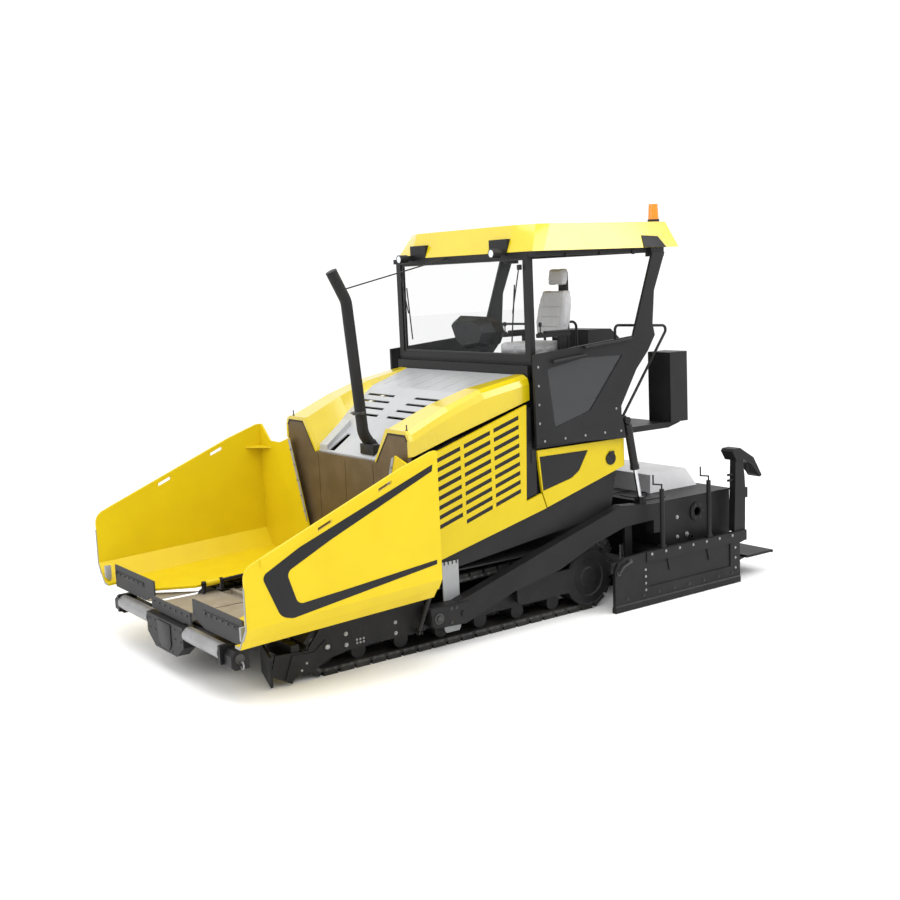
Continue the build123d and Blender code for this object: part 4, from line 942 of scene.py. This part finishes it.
class PAVER_OT_console_parts(bpy.types.Operator):
    """Add the displays, buttons and levers of the control console"""
    bl_idname = "paver.console_parts"
    bl_label = "Console parts"

    def execute(self, context):
        for number, (low_y, high_y) in enumerate(((-0.245, -0.030), (0.020, 0.235))):
            case = plate(rectangle(low_y, 2.735, high_y, 2.900), "yz", CONSOLE_X - 0.010, 0.011, edge=0.002)
            settle(case, f"display_case_{number + 1}", "chassis", "dark plastic")
            glass = plate(rectangle(low_y + 0.014, 2.749, high_y - 0.014, 2.886), "yz", CONSOLE_X - 0.0115,
                          0.002, edge=0.0005)
            settle(glass, f"display_glass_{number + 1}", "chassis", "dark screen")
        keys = [(CONSOLE_X - 0.0005, -0.22 + 0.036 * step, 2.706, "-x") for step in range(13)]
        button = disc((0, 0, 0), "+z", 0.010, 0.006, edge=0.002, sides=16)
        settle(repeated(button, keys), "console_keys", "chassis", "bolt steel")
        stop = disc((CONSOLE_X, 0.285, 2.800), "-x", 0.022, 0.020, edge=0.005)
        settle(stop, "stop_knob", "chassis", "red knob")
        for side, name in reversed(SIDES):
            arm_y = SEAT_Y + side * ARM_REACH
            stick = joined([disc((LEVER_X, arm_y, 2.820), "+z", 0.022, 0.012, edge=0.003),
                            tube([(LEVER_X, arm_y, 2.825), (LEVER_X, arm_y, 2.895)], 0.006),
                            disc((LEVER_X, arm_y, 2.885), "+z", 0.017, 0.045, edge=0.010)])
            settle(stick, f"control_lever_{name}", "chassis", "dark plastic")
        return {"FINISHED"}


# ---------------------------------------------------------------- seat
BLOW_FRAMES = 20        # steps of the cloth simulation


def pad(low, high, pull):
    """A pad between two corners, its sides pulled in between their corners."""
    deselect()
    middle = [(a + b) / 2 for a, b in zip(low, high)]
    half = [(b - a) / 2 for a, b in zip(low, high)]
    bpy.ops.mesh.primitive_cube_add(size=2.0, location=middle)
    piece = bpy.context.object
    piece.scale = half
    place_now(piece)
    open_all(piece)
    bpy.ops.mesh.subdivide(number_cuts=5)
    bpy.ops.object.mode_set(mode="OBJECT")
    for vertex in piece.data.vertices:
        share = [(vertex.co[axis] - middle[axis]) / half[axis] for axis in range(3)]
        vertex.co.x -= pull * share[0] * (1.0 - share[1] ** 2)
        vertex.co.y -= pull * share[1] * (1.0 - share[0] ** 2)
    soften(piece, min(half) * 0.5, 3)
    return piece


def inflated(piece, voxel, cap):
    """Blows the pad up as cloth round its filling; no point moves further than the cap."""
    modify(piece, "REMESH", mode="VOXEL", voxel_size=voxel)
    rest = [vertex.co.copy() for vertex in piece.data.vertices]
    activate(piece)
    cloth = piece.modifiers.new("padding", "CLOTH")
    cloth.settings.quality = 5
    cloth.settings.use_pressure = True
    cloth.settings.uniform_pressure_force = 4.0
    cloth.settings.effector_weights.gravity = 0.0
    cloth.point_cache.frame_start = 1
    cloth.point_cache.frame_end = BLOW_FRAMES
    for number in range(1, BLOW_FRAMES + 1):
        bpy.context.scene.frame_set(number)
    bpy.ops.object.modifier_apply(modifier=cloth.name)
    bpy.context.scene.frame_set(1)
    for vertex, start in zip(piece.data.vertices, rest):
        way = vertex.co - start
        if way.length > cap:
            vertex.co = start + way * (cap / way.length)
    modify(piece, "SUBSURF", levels=1, render_levels=1)


def sewn(piece, facing, channels, depth, width):
    """Sinks sewn channels into the side that faces one way.

    A channel is the axis and place where it lies, and the axis along it with its two ends."""
    normals = [vertex.normal.copy() for vertex in piece.data.vertices]
    for vertex, normal in zip(piece.data.vertices, normals):
        share = normal.dot(Vector(FACING[facing]))
        if share < 0.25:
            continue
        sunk = 0.0
        for axis, place, span_axis, low, high in channels:
            if low <= vertex.co[span_axis] <= high:
                sunk = max(sunk, math.exp(-((vertex.co[axis] - place) / width) ** 2))
        vertex.co -= normal * depth * sunk * min(1.0, share * 1.6)


def seams(axis, places, reach, ends=None):
    """Channels across a pad at some places along an axis, and between two ends one on each side of them."""
    across = [(axis, place, 1, SEAT_Y - reach, SEAT_Y + reach) for place in places]
    if ends is None:
        return across
    return across + [(1, SEAT_Y + way * (reach + 0.005), axis, *ends) for way in (-1, 1)]


def width_at(z, widths):
    """The half width at some height, from a list of (height, half width) that ends at both ends of a pad."""
    z = min(max(z, widths[0][0]), widths[-1][0])
    for (z0, half0), (z1, half1) in zip(widths, widths[1:]):
        if z <= z1:
            return half0 + (half1 - half0) * (z - z0) / (z1 - z0)


def leaning(piece, foot_z, foot_x, head_z, head_x, widths):
    """Leans an upright pad back and gives it its width at each height."""
    middle = sum(vertex.co.x for vertex in piece.data.vertices) / len(piece.data.vertices)
    full = max(abs(vertex.co.y - SEAT_Y) for vertex in piece.data.vertices)
    for vertex in piece.data.vertices:
        share = min(1.0, max(0.0, (vertex.co.z - foot_z) / (head_z - foot_z)))
        vertex.co.x += foot_x + (head_x - foot_x) * share - middle
        vertex.co.y = SEAT_Y + (vertex.co.y - SEAT_Y) * width_at(vertex.co.z, widths) / full


class PAVER_OT_seat(bpy.types.Operator):
    """Pad the seat: cushion, backrest and headrest, with their sewn channels"""
    bl_idname = "paver.seat"
    bl_label = "Seat"

    def execute(self, context):
        cap = context.scene.paver_studio.puff
        cushion = pad((-0.668, SEAT_Y - 0.226, 2.606), (-0.214, SEAT_Y + 0.226, 2.722), 0.010)
        inflated(cushion, 0.006, cap)
        sewn(cushion, "+z", seams(0, (-0.315, -0.400, -0.485), 0.14, (-0.66, -0.23)), 0.008, 0.008)
        settle(cushion, "seat_pad", "chassis", "seat cover", 60)
        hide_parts("seat_cushion")
        back = pad((-0.750, SEAT_Y - 0.226, 2.752), (-0.662, SEAT_Y + 0.226, 3.226), 0.006)
        leaning(back, 2.74, -0.700, 3.24, -0.797,
                ((2.74, 0.180), (2.90, 0.226), (3.12, 0.214), (3.24, 0.158)))
        inflated(back, 0.006, cap * 0.8)
        sewn(back, "+x", seams(2, (2.860, 2.960, 3.060), 0.13, (2.78, 3.20)), 0.008, 0.008)
        settle(back, "seat_back_pad", "chassis", "seat cover", 60)
        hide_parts("seat_back")
        rest = pad((-0.852, SEAT_Y - 0.120, 3.276), (-0.790, SEAT_Y + 0.120, 3.434), 0.004)
        leaning(rest, 3.265, -0.803, 3.445, -0.828,
                ((3.265, 0.100), (3.330, 0.120), (3.400, 0.118), (3.445, 0.096)))
        inflated(rest, 0.005, cap * 0.6)
        sewn(rest, "+x", seams(2, (3.320,), 0.10), 0.004, 0.006)
        settle(rest, "headrest_pad", "chassis", "seat cover", 60)
        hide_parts("seat_back")
        for side, name in SIDES:
            y = SEAT_Y + side * ARM_REACH
            top = block((-0.700, y - 0.028, 2.818), (-0.385, y + 0.028, 2.842), 0.010)
            settle(top, f"arm_pad_{name}", "chassis", "dark plastic")
        return {"FINISHED"}


# ---------------------------------------------------------------- screed
SCREED_Y = 1.250        # outer side of the main screed
FLANGE_Y = 1.264        # outer side of the round flange on it
END_PLATE_Y = 1.437     # outer side of the end plates
END_BEAM_Y = 1.447      # outer side of the beam along their top
SCREED_TOP = 1.0004
GRIP_X = -1.785
GRIP_TOP = 1.045
GRIP_WIDTH = 0.12
GRIP_PLACES = (-0.95, -0.40, 0.28, 0.83)
# x, z and half width of the single bolts on the side of the main screed
SCREED_SIDE_BOLTS = ((-1.93, 0.800, 0.014), (-1.93, 0.590, 0.014), (-2.07, 0.600, 0.018))


class PAVER_OT_screed_parts(bpy.types.Operator):
    """Add the bolts, hatches and strips of the screed"""
    bl_idname = "paver.screed_parts"
    bl_label = "Screed parts"

    def execute(self, context):
        size = context.scene.paver_studio.bolt_size
        flange = [(x, FLANGE_Y, z, "+y") for x, z in round_places(-2.225, 0.820, 0.078, range(0, 360, 60))]
        settle_bolts(size * 0.8, flange, "flange_bolts", "screed", "dark bolt")
        beam = [(-1.36 - 0.20 * step, END_BEAM_Y, 0.530, "+y") for step in range(7)]
        settle_bolts(size, beam, "end_beam_bolts", "screed_extension_")
        rail = [(-1.02 - 0.22 * step, END_PLATE_Y, 0.120, "+y") for step in range(8)]
        settle_bolts(size, rail, "end_rail_bolts", "screed_extension_", "dark bolt")
        strip = plate(rectangle(-0.852, 0.060, -2.688, 0.076), "xz", END_PLATE_Y + 0.0002, 0.006, edge=0.0015)
        settle_pair(strip, "end_plate_strip", "screed_extension_", "dark bolt")
        bolts = [(-1.275, END_PLATE_Y, z, "+y") for z in (0.17, 0.24, 0.31, 0.38)]
        bolts += [(-2.615, END_PLATE_Y, z, "+y") for z in (0.17, 0.28, 0.39)]
        settle_bolts(size * 0.9, bolts, "end_frame_bolts", "screed_extension_")
        for number, (x, z, radius) in enumerate(SCREED_SIDE_BOLTS):
            settle_bolts(radius, [(x, SCREED_Y, z, "+y")], f"screed_side_bolt_{number + 1}", "screed")
        handle = joined([tube([(-0.905, END_PLATE_Y, 0.405), (-0.905, 1.460, 0.415), (-0.960, 1.462, 0.470),
                               (-1.060, 1.462, 0.505), (-1.060, END_PLATE_Y, 0.500)], 0.011),
                         block((-1.085, 1.436, 0.480), (-1.035, 1.446, 0.525), 0.003),
                         block((-0.930, 1.436, 0.380), (-0.880, 1.446, 0.430), 0.003)])
        settle_pair(handle, "end_plate_handle", "screed_extension_", "dark bolt")
        hatches = [plate(rectangle(-1.65, y, -1.92, y + 0.42), "xy", SCREED_TOP, 0.008, edge=0.002)
                   for y in (-1.10, -0.55, 0.13, 0.68)]
        settle(joined(hatches), "screed_hatches", "screed", "dark paint")
        grips = [tube([(GRIP_X, y, 1.008), (GRIP_X, y, GRIP_TOP)], 0.006)
                 for start in GRIP_PLACES for y in (start, start + GRIP_WIDTH)]
        grips += [tube([(GRIP_X, y, GRIP_TOP), (GRIP_X, y + GRIP_WIDTH, GRIP_TOP)], 0.006)
                  for y in GRIP_PLACES]
        settle(joined(grips), "hatch_grips", "screed", "dark bolt")
        return {"FINISHED"}


# ---------------------------------------------------------------- stage
FLOOR_SIZE = 160.0
LIT_PLACE = Vector((0.0, 0.0, 1.2))     # where the lights point
# place, size and share of the key power
LIGHTS = {"key": ((3.0, 8.0, 9.0), 7.0, 0.45), "top": ((2.5, 1.0, 11.0), 8.0, 1.1),
          "front": ((12.0, -1.0, 7.0), 6.0, 0.6), "side": ((-6.4, 6.9, 8.8), 5.0, 0.8)}
# the camera's place, the angles to it seen from the machine, its roll and its lens in millimetres
CAMERA_PLACE = (7.3945, 10.2893, 3.4200)
CAMERA_AZIMUTH = 54.552
CAMERA_ELEVATION = 8.040
CAMERA_ROLL = -2.484
CAMERA_LENS = 49.496


class PAVER_OT_studio(bpy.types.Operator):
    """Pale floor, soft lights and the camera"""
    bl_idname = "paver.studio"
    bl_label = "Studio"

    def execute(self, context):
        settings = context.scene.paver_studio
        scene = context.scene
        scene.view_settings.view_transform = "Standard"
        deselect()
        bpy.ops.mesh.primitive_plane_add(size=1.0, location=(0.0, 0.0, 0.0))
        floor = context.object
        floor.scale = (FLOOR_SIZE, FLOOR_SIZE, 1.0)
        place_now(floor)
        floor.name = "studio_floor"
        shader = new_material("studio floor")[1]
        shader.inputs["Base Color"].default_value = (*settings.floor_colour, 1.0)
        shader.inputs["Roughness"].default_value = 0.9
        shader.inputs["Specular IOR Level"].default_value = 0.1
        floor.data.materials.append(bpy.data.materials["studio floor"])

        world = bpy.data.worlds.new("studio sky")
        scene.world = world
        world.use_nodes = True
        sky = world.node_tree.nodes["Background"]
        sky.inputs["Color"].default_value = (1.0, 1.0, 1.0, 1.0)
        sky.inputs["Strength"].default_value = settings.sky

        for name, (place, size, share) in LIGHTS.items():
            bpy.ops.object.light_add(type="AREA", location=place)
            light = context.object
            light.name = "light_" + name
            light.data.size = size
            light.data.energy = settings.key_power * share
            light.rotation_euler = (LIT_PLACE - Vector(place)).to_track_quat("-Z", "Y").to_euler()

        azimuth, elevation = math.radians(CAMERA_AZIMUTH), math.radians(CAMERA_ELEVATION)
        forward = -Vector((math.cos(elevation) * math.cos(azimuth), math.cos(elevation) * math.sin(azimuth),
                           math.sin(elevation)))
        right = forward.cross(Vector((0.0, 0.0, 1.0))).normalized()
        up = right.cross(forward)
        roll = math.radians(CAMERA_ROLL)
        side = right * math.cos(roll) + up * math.sin(roll)
        top = up * math.cos(roll) - right * math.sin(roll)
        bpy.ops.object.camera_add(location=CAMERA_PLACE)
        camera = context.object
        camera.name = "studio_camera"
        camera.data.lens = CAMERA_LENS
        camera.data.sensor_width = 36.0
        camera.data.clip_end = 300.0
        turn = Matrix((side, top, -forward)).transposed()
        camera.rotation_euler = turn.to_euler()
        scene.camera = camera
        return {"FINISHED"}


class PAVER_PT_panel(bpy.types.Panel):
    """Lists the steps of the dressing"""
    bl_idname = "PAVER_PT_panel"
    bl_label = "Paver"
    bl_space_type = "VIEW_3D"
    bl_region_type = "UI"
    bl_category = "Paver"

    def draw(self, context):
        for step in STEPS:
            self.layout.operator(step.bl_idname)
        for label in PaverStudio.__annotations__:
            self.layout.prop(context.scene.paver_studio, label)


STEPS = (PAVER_OT_finishes, PAVER_OT_wing_bands, PAVER_OT_wing_strips, PAVER_OT_front_parts,
         PAVER_OT_skirt_parts, PAVER_OT_track_links, PAVER_OT_louvres, PAVER_OT_side_parts,
         PAVER_OT_screen_parts, PAVER_OT_roof_parts, PAVER_OT_stack_parts, PAVER_OT_console_parts,
         PAVER_OT_seat, PAVER_OT_screed_parts, PAVER_OT_studio)
CLASSES = (PaverStudio, *STEPS, PAVER_PT_panel)


def register():
    for part in CLASSES:
        bpy.utils.register_class(part)
    bpy.types.Scene.paver_studio = bpy.props.PointerProperty(type=PaverStudio)


def unregister():
    del bpy.types.Scene.paver_studio
    for part in reversed(CLASSES):
        bpy.utils.unregister_class(part)


def main():
    register()
    for step in STEPS:
        group, name = step.bl_idname.split(".")
        getattr(getattr(bpy.ops, group), name)()


if __name__ == "__main__":
    main()
